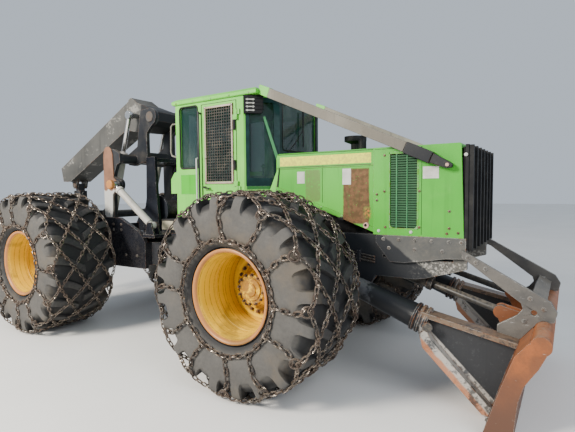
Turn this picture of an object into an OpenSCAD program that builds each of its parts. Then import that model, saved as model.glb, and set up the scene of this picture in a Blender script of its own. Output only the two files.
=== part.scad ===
// Grapple skidder with tyre chains, hinged at its middle. Millimetres, +X ahead, +Z up.
// Its origin is on the ground, under the middle of the whole length.

/* [Machine] */
// Distance between the axles
wheelbase = 3810; // [3600:10:4000]
// Height of both axles above the ground
axle_z = 1000; // [980:5:1020]
// Steering hinge, behind the front axle
hinge_back = 1905; // [1850:5:1960]
// Nose of the guard plates, ahead of the front axle
nose_reach = 2600; // [2580:10:2680]
// Tip of the boom, behind the rear axle
tip_reach = 1620; // [1560:10:1700]

/* [Wheels] */
// Wheel centre from the middle plane
track_half = 1375; // [1360:5:1420]
// Radius over the lug tips, chains not counted
tyre_r = 966; // [950:1:968]
// Height of a lug
lug_h = 48; // [30:2:60]
// Lugs on each side of a tyre
lug_count = 20; // [14:1:24]
// Width of a lug along the tread
lug_w = 86; // [60:2:100]
// Lean of a lug from the tyre's own axis, degrees
lug_lean = 32; // [15:1:40]
// Width of a tyre at its widest
tyre_w = 930; // [860:10:940]
// Radius of the bead seat
seat_r = 420; // [400:5:440]
// Width of the rim over its flanges
rim_w = 800; // [760:10:840]
// Radial chain runs on each side of a tyre
chain_runs = 12; // [8:1:16]
// Thickness of a chain run
chain_t = 24; // [18:2:24]
// Width of a link at the joints of the tread's zigzag
link_w = 60; // [46:2:80]
// Outer radius of a ring at the shoulder
ring_r = 62; // [50:2:72]

/* [Chassis] */
// Outer half width of the front frame
front_half = 580; // [560:5:600]
// Outer half width of the rear frame
rear_half = 700; // [660:5:720]
// Thickness of the frame side plates
frame_t = 60; // [40:5:70]
// Top of the front frame
front_top_z = 1530; // [1520:5:1535]
// Top of the rear frame
rear_top_z = 1600; // [1560:5:1610]
// Radius of the steering hinge pin
hinge_r = 70; // [50:5:80]

/* [Hood and housing] */
// Half width of the hood
hood_half = 580; // [560:5:590]
// Top of the hood
hood_top_z = 2420; // [2400:5:2440]
// Half width of the radiator housing
box_half = 620; // [600:5:630]
// Sheet thickness of hood and housing
sheet_t = 20; // [12:1:30]

/* [Cab] */
// Half width of the cab
cab_half = 750; // [730:5:765]
// Top of the roof
roof_z = 3190; // [3150:5:3250]
// Wall thickness of the cab
cab_t = 50; // [40:2:60]
// Bottom of the cab
cab_floor_z = 1600; // [1590:5:1620]
// Gap round a door
door_gap = 6; // [5:1:8]
// Thickness of a door
door_t = 44; // [36:2:50]

/* [Blade] */
// Half width of the blade
blade_half = 1150; // [1100:10:1250]
// Height of the blade's lower edge above the ground
blade_clear = 15; // [10:1:40]
// Radius of a push arm at its front
arm_r = 125; // [110:5:130]
// Middle of a push arm from the middle plane
arm_y = 725; // [720:5:735]
// Thickness of the guard plates
guard_t = 40; // [30:2:45]

/* [Arch and boom] */
// Outer half width of the arch legs
arch_half = 620; // [600:5:625]
// Thickness of the arch plates
arch_t = 60; // [40:5:70]
// Half width of the boom
boom_half = 200; // [180:5:205]
// Length of a closed tong, from pivot to tip
tong_drop = 860; // [800:10:900]

/* [Hidden] */
$fn = 48;

// Running clearance of a pin, and side gap at an eye
fit = 0.3;
side_gap = 0.5;

// Places of the axles and of the steering hinge along X
front_x = (wheelbase + tip_reach - nose_reach) / 2;
rear_x = front_x - wheelbase;
hinge_x = front_x - hinge_back;

// Frames of the two halves: X from the half's own axle, Z from the ground
module on_front() { translate([front_x, 0, 0]) children(); }
module on_rear() { translate([rear_x, 0, 0]) children(); }
module both_sides() { children(); mirror([0, 1, 0]) children(); }

// A plate cut to an outline in the XZ plane, from y0 to y1
module plate(y0, y1) { translate([0, y1, 0]) rotate([90, 0, 0]) linear_extrude(y1 - y0) children(); }
// A pair of such plates, one on each side
module plates(y0, y1) { both_sides() plate(y0, y1) children(); }
// A round bar along Y
module cross_bar(x, z, r, y0, y1) { translate([x, y1, z]) rotate([90, 0, 0]) cylinder(r = r, h = y1 - y0); }
// A round bar from one point to another in the XZ plane, at the given y
module bar_xz(from, to, y, r) {
    dx = to[0] - from[0];
    dz = to[1] - from[1];
    translate([from[0], y, from[1]]) rotate([0, atan2(dx, dz), 0]) cylinder(r = r, h = norm([dx, dz]));
}

// Tyre, with its middle at the origin and the outboard side up along +Z
carcass_r = tyre_r - lug_h;
bead_w = rim_w - 60;
wall_w = tyre_w / 2;
shoulder_r = carcass_r - 40;
shoulder_w = wall_w - 50;

// Half section of the carcass as pairs of radius and height, bead to crown
function side_arc(n) = [for (i = [0:n]) let (a = -62 + 118 * i / n)
    [seat_r + 250 + 232 * sin(a), wall_w - 135 + 135 * cos(a)]];

module carcass() {
    half = concat([[seat_r + fit, 0], [seat_r + fit, bead_w / 2]], side_arc(6),
                  [[shoulder_r, shoulder_w], [carcass_r, shoulder_w - 130], [carcass_r, 0]]);
    rotate_extrude($fn = 96) {
        polygon(half);
        mirror([0, 1]) polygon(half);
    }
}

// One lug: a bent bar across the tread, and its end that laps over the shoulder
lug_edge = shoulder_w - 24;
module lug() {
    knee = [lug_edge * 0.55, lug_edge * 0.14];
    end_y = lug_edge * 0.25;
    half = lug_w / 2;
    start_y = knee[1] - (knee[0] - 10) * tan(lug_lean);
    outline = [
        // along the axis, along the tread
        [10, start_y - half], [knee[0], knee[1] - half], [lug_edge, end_y - half],
        [lug_edge, end_y + half], [knee[0], knee[1] + half], [10, start_y + half]
    ];
    foot = shoulder_r - 5;
    // The top is flat, so its far corners are what reaches the tyre's radius
    top = sqrt(pow(tyre_r, 2) - pow(end_y + half, 2));
    translate([foot, 0, 0]) rotate([0, 90, 0])
        linear_extrude(top - foot) polygon([for (p = outline) [-p[0], p[1]]]);
    translate([shoulder_r - 50, end_y - half + 6, shoulder_w - 70]) cube([tyre_r - shoulder_r + 2, 2 * half - 12, 82]);
}

module tyre_up() {
    carcass();
    for (i = [0:lug_count - 1]) {
        rotate([0, 0, i * 360 / lug_count]) lug();
        rotate([0, 0, (i + 0.5) * 360 / lug_count]) mirror([0, 0, 1]) lug();
    }
}

// Chain: its knots are pairs of radius and height, from the ring on the wall to the joint on the tread
chain_step = 360 / chain_runs;
over = chain_t / 2;
wall_ring = [seat_r + 112, wall_w - 11.4];
bulge = [seat_r + 230, wall_w + 11 + over];
corner = [tyre_r - 41, wall_w - 15];
tread_edge = [axle_z - over - 0.56, wall_w - 65];
tread_joint = [axle_z - over - 0.56, 150];

function on_tyre(knot, a, s) = [knot[0] * cos(a), knot[0] * sin(a), s * knot[1]];

// A straight run between two points, with one side facing out from the axle. Its size is [out, across].
module run(from, to, size = [chain_t, chain_t]) {
    d = to - from;
    mid = (from + to) / 2;
    out = atan2(mid[1], mid[0]);
    // The run's direction as seen from outside, after the turn to its place round the axle
    flat = [d[0] * cos(out) + d[1] * sin(out), d[1] * cos(out) - d[0] * sin(out), d[2]];
    translate(mid) rotate([0, 0, out]) rotate([-atan2(flat[1], flat[2]), 0, 0])
        rotate([0, atan2(flat[0], norm([flat[1], flat[2]])), 0])
            cube([size[0], size[1], norm(d) + chain_t * 0.5], center = true);
}

module chain_up() {
    for (s = [-1, 1]) {
        // Ring round the rim
        rotate_extrude($fn = 48) translate([wall_ring[0] - over, s * wall_ring[1] - over]) square(chain_t);
        for (i = [0:chain_runs - 1]) {
            a = i * chain_step;
            run(on_tyre(wall_ring, a, s), on_tyre(bulge, a, s));
            run(on_tyre(bulge, a, s), on_tyre(corner, a, s), [chain_t, chain_t - 3]);
            run(on_tyre(corner, a, s), on_tyre(tread_edge, a, s));
            // Two runs part on the tread and meet their neighbours at a joint
            for (t = [-1, 1])
                run(on_tyre(tread_edge, a, s), on_tyre(tread_joint, a + t * chain_step / 2, s),
                    [chain_t - 2.3 + t * 0.3, chain_t - 1.5 + t * 1.5]);
            // Ring at the shoulder
            translate(on_tyre(corner, a, s)) rotate([0, s * 50, a]) rotate([0, 0, 7.5]) difference() {
                cylinder(r = ring_r, h = chain_t, center = true, $fn = 24);
                cylinder(r = ring_r - chain_t * 0.8, h = chain_t + 2, center = true, $fn = 24);
            }
        }
    }
    // Links at the joints: their outer faces carry the machine
    for (i = [0:2 * chain_runs - 1], s = [-1, 1])
        if (i % 2 == 1) rotate([0, 0, i * chain_step / 2])
            translate([tyre_r + fit, -link_w / 2, s * tread_joint[1] - link_w / 2])
                cube([axle_z - tyre_r - fit, link_w, link_w]);
    // Cross runs between the two halves
    for (i = [0:chain_runs - 1]) rotate([0, 0, (i + 0.5) * chain_step])
        translate([tread_joint[0] - over, -over, -tread_joint[1]]) cube([chain_t, chain_t, 2 * tread_joint[1]]);
}

// Rim: a dished disc near the inner side, a deep barrel and a planetary hub
rim_t = 24;
disc_z = -130;
hub_r = 205;
spindle_r = 90;
spindle_l = 70;
disc_t = 26;

module rim_up() {
    out = rim_w / 2;
    bead = bead_w / 2;
    section = [
        [seat_r - rim_t, 60 - out], [seat_r - rim_t, disc_z - 90], [hub_r - 10, disc_z - disc_t],
        [spindle_r + fit, disc_z - disc_t], [spindle_r + fit, disc_z + 60], [0, disc_z + 60],
        [0, disc_z + 170], [hub_r - 55, disc_z + 170], [hub_r - 30, disc_z + 110], [hub_r, disc_z + 100],
        [hub_r, disc_z + 20], [seat_r - 90, disc_z + 20], [seat_r - 80, disc_z - 40],
        [seat_r - rim_t, disc_z - 40], [seat_r - rim_t, out - 60], [seat_r + 4, out + 2],
        [seat_r + 20, out + 10], [seat_r + 34, out + 6], [seat_r + 34, bead + 18.5], [seat_r, bead + fit],
        [seat_r, -bead - fit], [seat_r + 34, -bead - 18.5], [seat_r + 34, -out - 6], [seat_r + 20, -out - 10],
        [seat_r + 4, -out - 2]
    ];
    rotate_extrude($fn = 72) polygon(section);
}

// Places of the wheels: name order front right, front left, rear right, rear left
wheel_x = [front_x, front_x, rear_x, rear_x];
wheel_side = [-1, 1, -1, 1];

module at_wheel(i) {
    translate([wheel_x[i], wheel_side[i] * track_half, axle_z])
        mirror([0, wheel_side[i] > 0 ? 1 : 0, 0]) rotate([90, 0, 0]) children();
}

module tyre(i) { color([0.16, 0.16, 0.17]) at_wheel(i) tyre_up(); }
module chain(i) { color([0.2, 0.14, 0.1]) at_wheel(i) chain_up(); }
module rim(i) { color([0.85, 0.65, 0.12]) at_wheel(i) rim_up(); }

// Axles

flange_y = track_half + disc_z - disc_t - side_gap;

module axle_body() {
    both_sides() {
        translate([0, flange_y, 0]) rotate([-90, 0, 0]) cylinder(r = spindle_r, h = spindle_l);
        translate([0, flange_y - 36, 0]) rotate([-90, 0, 0]) cylinder(r = hub_r - 15, h = 36);
        translate([0, 480, 0]) rotate([-90, 0, 0]) cylinder(r = 140, h = flange_y - 490);
        rotate([-90, 0, 0]) cylinder(r1 = 225, r2 = 140, h = 480.5);
    }
    rotate([0, 90, 0]) cylinder(r = 205, h = 420, center = true);
}

trunnion_r = 85;
hanger_x = 400;
hanger_t = 60;

module front_axle() {
    color([0.15, 0.15, 0.16]) translate([front_x, 0, axle_z]) {
        axle_body();
        rotate([0, 90, 0]) cylinder(r = 130, h = 2 * (hanger_x - side_gap), center = true);
        rotate([0, 90, 0]) cylinder(r = trunnion_r, h = 2 * (hanger_x + hanger_t), center = true);
    }
}

saddle_z = axle_z + 190;

module rear_axle() {
    color([0.15, 0.15, 0.16]) translate([rear_x, 0, axle_z]) {
        axle_body();
        both_sides() translate([-180, rear_half - frame_t - 40, 0]) cube([360, frame_t + 80, saddle_z - axle_z]);
    }
}

// Front chassis

ear_t = 65;
ear_low_z = 840;
ear_high_z = 1255;
ear_rear_x = -1330;
rail_x = [1000, 1870];
rail_low_z = 1262;
blade_pivot = [600, 1080];
arm_pin_r = 45;
lift_base = [800, 1260];
lift_y = 430;
steer_base = [-1150, 420];
steer_z = 1080;

module front_side() {
    polygon([[ear_rear_x, ear_low_z + 20], [ear_rear_x, front_top_z], [rail_x[1], front_top_z],
             [rail_x[1], 1235], [1480, 1115], [1390, 1100], [980, 1100], [860, 900], [500, 900],
             [hanger_x + hanger_t, 1365], [-hanger_x - hanger_t, 1365], [-520, ear_low_z + 20]]);
}

module hinge_ear() {
    linear_extrude(ear_t) {
        polygon([[ear_rear_x + 1, -430], [ear_rear_x + 1, 430], [-hinge_back, 165], [-hinge_back, -165]]);
        translate([-hinge_back, 0]) circle(r = 165);
    }
}

module front_chassis() {
    inner = front_half - frame_t;
    color([0.42, 0.43, 0.42]) on_front() {
        difference() {
            plates(inner, front_half) front_side();
            both_sides() translate([1060, inner - 1, 1300]) cube([690, frame_t + 2, 22]);
        }
        plates(front_half, box_half) difference() {
            polygon([[rail_x[0], front_top_z], [rail_x[1], front_top_z], [rail_x[1], 1340],
                     [1700, 1330], [1300, rail_low_z], [rail_x[0] + 150, rail_low_z], [rail_x[0], 1450]]);
        }
        for (s = [-1, 1]) difference() {
            translate([s > 0 ? hanger_x : -hanger_x - hanger_t, -inner, axle_z - 190])
                cube([hanger_t, 2 * inner, 1365 - axle_z + 190]);
            translate([s * (hanger_x + hanger_t / 2), 0, axle_z]) rotate([0, 90, 0])
                cylinder(r = trunnion_r + fit, h = hanger_t + 2, center = true);
        }
        // Gussets that join the hangers to the side plates, beside the engine
        for (x = [-hanger_x - hanger_t, hanger_x], y = [-inner, 360])
            translate([x, y, 1340]) cube([hanger_t, inner - 360, 110]);
        // Two bands join the hinge ears to the side plates; the steering cylinders pass between them
        for (z = [ear_low_z, ear_high_z + ear_t - 95]) translate([ear_rear_x, -inner, z]) cube([60, 2 * inner, 95]);
        translate([ear_rear_x, -inner, front_top_z - 50]) cube([900, 2 * inner, 50]);
        translate([rail_x[1] - 60, -inner, 1425]) cube([60, 2 * inner, front_top_z - 1425]);
        for (z = [ear_low_z, ear_high_z]) translate([0, 0, z]) hinge_ear();
        // Mounts under the cab
        for (x = [-1250, -640], s = [-1, 1])
            translate([x, s * (inner - 60), front_top_z - 1]) cylinder(r = 70, h = cab_floor_z - fit - front_top_z + 1);
        translate([-hinge_back, 0, ear_low_z]) cylinder(r = hinge_r, h = ear_high_z + ear_t + 20 - ear_low_z);
        both_sides() {
            // Pin of a push arm
            cross_bar(blade_pivot[0], blade_pivot[1], arm_pin_r, front_half - 1, arm_y + 60);
            // Clevis of a blade cylinder
            for (y = [lift_y - 75, lift_y + 75 - 24])
                translate([lift_base[0] - 70, y, lift_base[1] - 70]) cube([105, 24, front_top_z - lift_base[1] + 30]);
            cross_bar(lift_base[0], lift_base[1], 30, lift_y - 75, lift_y + 75);
            translate([lift_base[0] - 70, lift_y - 75, front_top_z - 60]) cube([120, inner - lift_y + 76, 60]);
            // Clevis of a steering cylinder
            for (z = [steer_z - 74, steer_z + 50])
                translate([steer_base[0] - 55, steer_base[1] - 60, z]) cube([155, inner - steer_base[1] + 61, 24]);
            translate([steer_base[0], steer_base[1], steer_z - 74]) cylinder(r = 28, h = 148);
        }
    }
}

module engine_block() {
    color([0.25, 0.25, 0.26]) on_front() {
        translate([-120, -345, 1365 + fit]) cube([1000, 690, 760]);
        // Radiator core behind the grille
        translate([1500, -box_half + 60, front_top_z]) cube([180, 2 * (box_half - 60), 800]);
    }
}

// Hood

hood_x = [-250, 970 - fit];
stripe_z = 2250;

module hood_section(inset) {
    w = hood_half - inset;
    top = hood_top_z - inset;
    polygon([[-w, 1400], [w, 1400], [w, top - 60], [w - 18, top - 18], [w - 60, top],
             [-w + 60, top], [-w + 18, top - 18], [-w, top - 60]]);
}

// Turns an outline in the YZ plane into a bar along X
module bar_x(x0, x1) { translate([x0, 0, 0]) rotate([90, 0, 90]) linear_extrude(x1 - x0) children(); }

module hood() {
    color([0.35, 0.66, 0.27]) on_front() {
        intersection() {
            difference() {
                bar_x(hood_x[0], hood_x[1]) hood_section(0);
                bar_x(hood_x[0] + sheet_t, hood_x[1] - sheet_t) hood_section(sheet_t);
            }
            plate(-hood_half - 1, hood_half + 1)
                polygon([[hood_x[0] - 60, 2010], [hood_x[1] + 1, 1545], [hood_x[1] + 1, hood_top_z + 1],
                         [hood_x[0], hood_top_z + 1], [hood_x[0], 2000]]);
        }
        // Bead under the name band, and the flange along the sloping lower edge
        both_sides() {
            translate([hood_x[0] + 10, hood_half - 1, stripe_z - 14]) cube([hood_x[1] - hood_x[0] - 20, 7, 14]);
            plate(hood_half - 1, hood_half + 12)
                polygon([[hood_x[0], 1988], [hood_x[1], 1548], [hood_x[1], 1596], [hood_x[0], 2036]]);
        }
    }
}

// Radiator housing

box_x = [970, 1820];
vent_x = [1140, 1430];
vent_z = [1600, 2360];

module rounded(x0, x1, z0, z1, r) {
    polygon(concat(
        [for (a = [0:30:90]) [x1 - r + r * cos(a), z1 - r + r * sin(a)]],
        [for (a = [90:30:180]) [x0 + r + r * cos(a), z1 - r + r * sin(a)]],
        [for (a = [180:30:270]) [x0 + r + r * cos(a), z0 + r + r * sin(a)]],
        [for (a = [270:30:360]) [x1 - r + r * cos(a), z0 + r + r * sin(a)]]));
}

module radiator_housing() {
    color([0.35, 0.66, 0.27]) on_front() difference() {
        plate(-box_half, box_half)
            polygon([[box_x[0], front_top_z], [box_x[1] + 30, front_top_z], [box_x[1], 2400],
                     [box_x[1] - 15, 2412], [box_x[0], 2412]]);
        plate(-box_half + sheet_t, box_half - sheet_t)
            polygon([[box_x[0] + sheet_t, front_top_z - 1], [box_x[1] + 60, front_top_z - 1],
                     [box_x[1] + 60, 2360], [box_x[0] + sheet_t, 2392]]);
        plates(box_half - sheet_t - 1, box_half + 1) rounded(vent_x[0], vent_x[1], vent_z[0], vent_z[1], 40);
        // The hood opens into the housing
        translate([box_x[0] - 1, -hood_half + 120, front_top_z - 1]) cube([sheet_t + 2, 2 * hood_half - 240, 700]);
    }
}

module side_mesh() {
    slats = 12;
    color([0.12, 0.22, 0.12]) on_front() both_sides() {
        difference() {
            plate(box_half - sheet_t, box_half - 4)
                rounded(vent_x[0] + fit, vent_x[1] - fit, vent_z[0] + fit, vent_z[1] - fit, 40);
            for (i = [0:slats - 1])
                translate([vent_x[0] + 22, box_half - sheet_t - 1, vent_z[0] + 24 + i * 60.5])
                    cube([vent_x[1] - vent_x[0] - 44, sheet_t, 46]);
        }
    }
}

grille_x = [1835, 1900];
module front_grille() {
    ribs = 7;
    w = box_half - 10;
    color([0.1, 0.1, 0.11]) on_front() {
        difference() {
            translate([grille_x[0] + 17, -w, front_top_z]) cube([30, 2 * w, 2395 - front_top_z]);
            for (i = [0:ribs - 2])
                translate([grille_x[0], -w + 50 + i * (2 * w - 60) / (ribs - 1), front_top_z + 60])
                    cube([80, (2 * w - 60) / (ribs - 1) - 40, 760]);
        }
        for (i = [0:ribs - 1])
            translate([grille_x[0] + 46, -w + 10 + i * (2 * w - 60) / (ribs - 1), 1420])
                cube([42, 40, 970]);
        translate([rail_x[1], -w, 1425]) cube([12, 2 * w, 106]);
    }
}

// Cab

cab_rear_x = -1740;
cab_post_x = -600;
cab_nose_x = -275;
cab_nose_half = 470;
eave_z = 3110;

module cab_plan(i) {
    polygon([[cab_rear_x + i, -cab_half + i], [cab_post_x - i * 0.4, -cab_half + i],
             [cab_nose_x - i, -cab_nose_half + i * 0.4], [cab_nose_x - i, cab_nose_half - i * 0.4],
             [cab_post_x - i * 0.4, cab_half - i], [cab_rear_x + i, cab_half - i]]);
}

// Foot of the cab: it clears the front tyres as they rise
foot_z = 1992;
foot_half = 625;

door_x = [-1268, -712];
module door_outline(g) {
    polygon([[door_x[0] - g, cab_floor_z + 40 - g], [-1000 + g, cab_floor_z + 40 - g],
             [door_x[1] + g, 2010 - g], [door_x[1] + g, 3070 + g], [door_x[0] - g, 3070 + g]]);
}
module rear_window() { rounded(-1655, -1345, 2290, 3070, 30); }

module cab_solid(i) {
    translate([0, 0, foot_z]) linear_extrude(eave_z - foot_z - (i > 0 ? i : 0)) cab_plan(i);
    plate(-cab_half + i, cab_half - i)
        polygon([[cab_rear_x + i, cab_floor_z + i], [-1010 - i * 0.5, cab_floor_z + i],
                 [-760 - i * 0.6, foot_z + 1], [cab_rear_x + i, foot_z + 1]]);
    plate(-foot_half + i, foot_half - i)
        polygon([[-1100, cab_floor_z + i], [-520 - i, cab_floor_z + i], [-330 - i, foot_z + 1], [-1100, foot_z + 1]]);
}

// Frame of one slanted front corner: local X runs along the pane from post to nose
corner_len = norm([cab_nose_x - cab_post_x, cab_half - cab_nose_half]);
corner_turn = atan2(cab_half - cab_nose_half, cab_nose_x - cab_post_x);
module at_corner(s) {
    translate([cab_post_x, s * cab_half, 0]) rotate([0, 0, -s * corner_turn]) children();
}

module cab_shell() {
    color([0.36, 0.68, 0.28]) on_front() difference() {
        union() {
            cab_solid(0);
            // Rear side pods above the narrow lower panel
            plates(cab_half - 160, cab_half)
                polygon([[cab_rear_x + 1, 1960], [cab_rear_x - 110, 1960], [cab_rear_x - 110, 2150],
                         [cab_rear_x - 40, 2240], [cab_rear_x + 1, 2240]]);
            // Upper hinge ears of the doors
            both_sides() for (z = [1985, 2900])
                translate([hinge_line_x, cab_half + 16, z]) cylinder(r = 14, h = 60);
            both_sides() for (z = [1985, 2900])
                translate([hinge_line_x, cab_half - 1, z]) cube([40, 18, 60]);
        }
        cab_solid(cab_t);
        plates(cab_half - cab_t - 1, cab_half + 1) door_outline(door_gap);
        plates(cab_half - cab_t - 1, cab_half + 1) rear_window();
        // Rear window and windshield
        translate([cab_rear_x - 1, -560, 2330]) cube([cab_t + 2, 1120, 700]);
        translate([cab_nose_x - cab_t - 1, -410, 2480]) cube([cab_t + 2, 820, 570]);
        for (s = [-1, 1]) at_corner(s)
            translate([60, s > 0 ? -cab_t - 8 : -8, 2130]) cube([corner_len - 125, cab_t + 16, 920]);
        // Bores of the door hinges
        both_sides() for (z = [1985, 2900])
            translate([hinge_line_x, cab_half + 16, z - 1]) cylinder(r = 6 + fit, h = 62);
    }
}

hinge_line_x = door_x[1] + 22;

roof_front = -395;
module cab_roof() {
    x0 = cab_rear_x - 45;
    x1 = roof_front;
    half = cab_half + 25;
    color([0.36, 0.68, 0.28]) on_front() intersection() {
        plate(-half, half)
            polygon([[x0 + 20, eave_z + fit], [x1, eave_z + fit], [x1, roof_z - 25], [x1 - 40, roof_z],
                     [x0 + 60, roof_z], [x0, roof_z - 20], [x0, eave_z + 20]]);
        bar_x(x0 - 1, x1 + 1)
            polygon([[-half + 10, eave_z], [half - 10, eave_z], [half, eave_z + 12], [half, roof_z - 34],
                     [half - 50, roof_z], [-half + 50, roof_z], [-half, roof_z - 34], [-half, eave_z + 12]]);
    }
}

pane_t = 8;
module cab_glass() {
    g = fit;
    color([0.35, 0.45, 0.5, 0.5]) on_front() {
        plates(cab_half - 30, cab_half - 30 + pane_t) rounded(-1655 + g, -1345 - g, 2290 + g, 3070 - g, 30);
        translate([cab_rear_x + 20, -560 + g, 2330 + g]) cube([pane_t, 1120 - 2 * g, 700 - 2 * g]);
        translate([cab_nose_x - 30, -410 + g, 2480 + g]) cube([pane_t, 820 - 2 * g, 570 - 2 * g]);
        for (s = [-1, 1]) at_corner(s)
            translate([60 + g, s > 0 ? -30 : 22, 2130 + g]) cube([corner_len - 125 - 2 * g, pane_t, 920 - 2 * g]);
    }
}

module seat() {
    z0 = cab_floor_z + cab_t;
    color([0.12, 0.12, 0.13]) on_front() {
        translate([-1420, -150, z0]) cube([300, 300, 260]);
        translate([-1500, -260, z0 + 260]) cube([520, 520, 120]);
        plate(-240, 240) polygon([[-1500, z0 + 379], [-1400, z0 + 379], [-1450, z0 + 1050], [-1560, z0 + 1050]]);
        both_sides() translate([-1450, 262, z0]) cube([420, 90, 560]);
    }
}

module console() {
    z0 = cab_floor_z + cab_t;
    color([0.1, 0.1, 0.1]) on_front() {
        plate(-180, 180) polygon([[-720, z0], [-580, z0], [-450, foot_z + 60], [-390, 2330], [-490, 2330], [-610, 2150]]);
        both_sides() translate([-1090, 307, z0 + 560]) cylinder(r = 18, h = 130);
        both_sides() translate([-1090, 307, z0 + 690]) sphere(r = 32, $fn = 24);
    }
}

module roof_lamps() {
    color([0.1, 0.1, 0.1]) on_front() both_sides() {
        translate([roof_front - 75, cab_half - 95, eave_z - 135]) cube([70, 115, 135]);
        translate([roof_front - 6, cab_half - 37, eave_z - 68]) rotate([0, 90, 0]) cylinder(r = 55, h = 22);
    }
}

riser_y = [box_half + 20, box_half + 92];
module limb_risers() {
    color([0.5, 0.49, 0.45]) on_front() plates(riser_y[0], riser_y[1])
        polygon([[roof_front + fit, 3105], [1640, 2205], [1760, 2165], [1790, 2180], [1770, 2215],
                 [1650, 2290], [-380, 3215], [roof_front + fit, 3200]]);
}

module intake_stack() {
    color([0.08, 0.08, 0.09]) on_front() {
        translate([430, 150, hood_top_z]) cylinder(r = 55, h = 130);
        translate([430, 150, hood_top_z + 130]) cylinder(r1 = 60, r2 = 135, h = 30);
        translate([430, 150, hood_top_z + 160]) cylinder(r = 135, h = 60);
        translate([650, -150, hood_top_z]) cylinder(r = 45, h = 150);
    }
}

step_x = [-1320, -1080];
module steps_rails() {
    color([0.1, 0.1, 0.1]) on_front() both_sides() {
        // Treads and their stringers
        for (i = [0:2])
            translate([step_x[0], front_half + 20, 560 + i * 330]) cube([step_x[1] - step_x[0], 290 - i * 50, 30]);
        for (x = [step_x[0], step_x[1] - 20]) translate([x, front_half + fit, 540]) cube([20, 230, 960]);
        // Grab rail beside the door
        translate([-1300, cab_half, 1760]) cube([20, 40, 20]);
        translate([-1300, cab_half, 2960]) cube([20, 40, 20]);
        translate([-1290, cab_half + 40, 1750]) cylinder(r = 12, h = 1240);
    }
}

// Blade body

blade_back = [[2110, 0], [2150, 130], [2230, 390], [2330, 680], [2425, 800]];
blade_front = [[2580, 800], [2500, 620], [2400, 460], [2360, 320], [2345, 180], [2330, 0]];

// Round top edge of the board
roll_at = [2508, 790];
roll_r = 74;

module blade_board() {
    color([0.45, 0.28, 0.18]) on_front() {
        translate([0, 0, blade_clear]) plate(-blade_half, blade_half) {
            polygon(concat(blade_back, blade_front));
            translate(roll_at) circle(r = roll_r);
        }
        // Ears for the rods of the blade cylinders
        for (s = [-1, 1], e = [-1, 1])
            translate([0, s * lift_y + e * 52, 0]) plate(-10, 10) {
                translate(lift_pin) circle(r = 60);
                polygon([lift_pin + [20, 56], lift_pin + [-20, -56], [2240, 540], [2335, 690], [2424, 815], [2440, 850]]);
            }
    }
}

// Point of a push arm's middle line at its front end
arm_end = [1570, 735];
plate_y = [656, 656 + guard_t];

module push_arms() {
    color([0.3, 0.33, 0.37]) on_front() both_sides() {
        dir = arm_end - blade_pivot;
        difference() {
            union() {
                translate([blade_pivot[0], arm_y, blade_pivot[1]])
                    rotate([0, atan2(dir[0], dir[1]), 0]) {
                        cylinder(r1 = 90, r2 = arm_r, h = norm(dir));
                        for (d = [40, 90, 140])
                            translate([0, 0, norm(dir) - d]) cylinder(r = arm_r + 14, h = 24);
                    }
                cross_bar(blade_pivot[0], blade_pivot[1], 110, front_half + 8, arm_y + 50);
                // Gusset web between the arm and the board
                plate(arm_y - 10, arm_y + 20)
                    polygon(concat([[1540, 840], [1540, 560], [2095, 30], [2114, 30]],
                                   [for (i = [1:3]) blade_back[i] + [-fit, blade_clear]]));
                // Upper flange
                plate(arm_y - 60, arm_y + 110)
                    polygon([[1500, 815], [1500, 860], [2328, 697], [2314, 655]]);
                // Lower box flange
                plate(arm_y - 60, arm_y + 110)
                    polygon([[1510, 640], [1540, 520], [2060, 20], [2108, 20], [2130, 90], [1620, 600], [1570, 700]]);
            }
            cross_bar(blade_pivot[0], blade_pivot[1], arm_pin_r + fit, front_half, arm_y + 70);
        }
    }
}

nose_hole_r = 24;
nose_hole = [nose_reach - 170, 940];
lift_pin = [2150, 860];

module guard_outline() {
    polygon(concat([[1850, 1350], [1850, 1432], [nose_reach - 50, 1045], [nose_reach, 960], [nose_reach - 20, 880]],
                   [for (a = [60:20:160]) roll_at + [0, blade_clear] + (roll_r + 2) * [cos(a), sin(a)]],
                   [[2424, 816], [2329.7, 698], [2150, 733], [2150, 800], [2300, 900], [2345, 960],
                    [2330, 1010], [1900, 1330]]));
}

module guard_plates() {
    color([0.45, 0.45, 0.43]) on_front() {
        difference() {
            plates(plate_y[0], plate_y[1]) guard_outline();
            for (s = [-1, 1])
                translate([nose_hole[0], s * (plate_y[0] + guard_t / 2), nose_hole[1]]) rotate([90, 0, 0])
                    cylinder(r = nose_hole_r, h = guard_t + 2, center = true);
        }
        // Cross member between the plates
        translate([nose_reach - 220, -plate_y[0] - 1, 1000]) rotate([0, 29, 0]) cube([130, 2 * plate_y[0] + 2, 40]);
    }
}

// Cylinders: a barrel on its base pin, and a rod that ends in a flat eye

module barrel_xz(base, pin, y, r, len, eye_r, pin_r) {
    d = pin - base;
    turn = atan2(d[0], d[1]);
    translate([base[0], y, base[1]]) rotate([0, turn, 0]) difference() {
        union() {
            translate([0, 0, eye_r * 0.6]) cylinder(r = 36, h = eye_r * 0.4 + 20);
            translate([0, 0, eye_r + 12]) cylinder(r = r, h = len - eye_r - 12);
            translate([0, 0, len - 50]) cylinder(r = r + 10, h = 50);
            rotate([90, 0, 0]) cylinder(r = eye_r, h = 80, center = true);
        }
        rotate([90, 0, 0]) cylinder(r = pin_r + fit, h = 90, center = true);
        translate([0, 0, eye_r + 60]) cylinder(r = r * 0.55 + fit, h = len);
    }
}

module rod_xz(base, pin, y, r, inside, eye_r, eye_w) {
    d = pin - base;
    turn = atan2(d[0], d[1]);
    len = norm(d);
    translate([base[0], y, base[1]]) rotate([0, turn, 0]) {
        translate([0, 0, inside]) cylinder(r = r * 0.55, h = len - inside - eye_r * 0.6);
        translate([0, 0, len]) rotate([90, 0, 0]) cylinder(r = eye_r, h = eye_w, center = true);
    }
}

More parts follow.
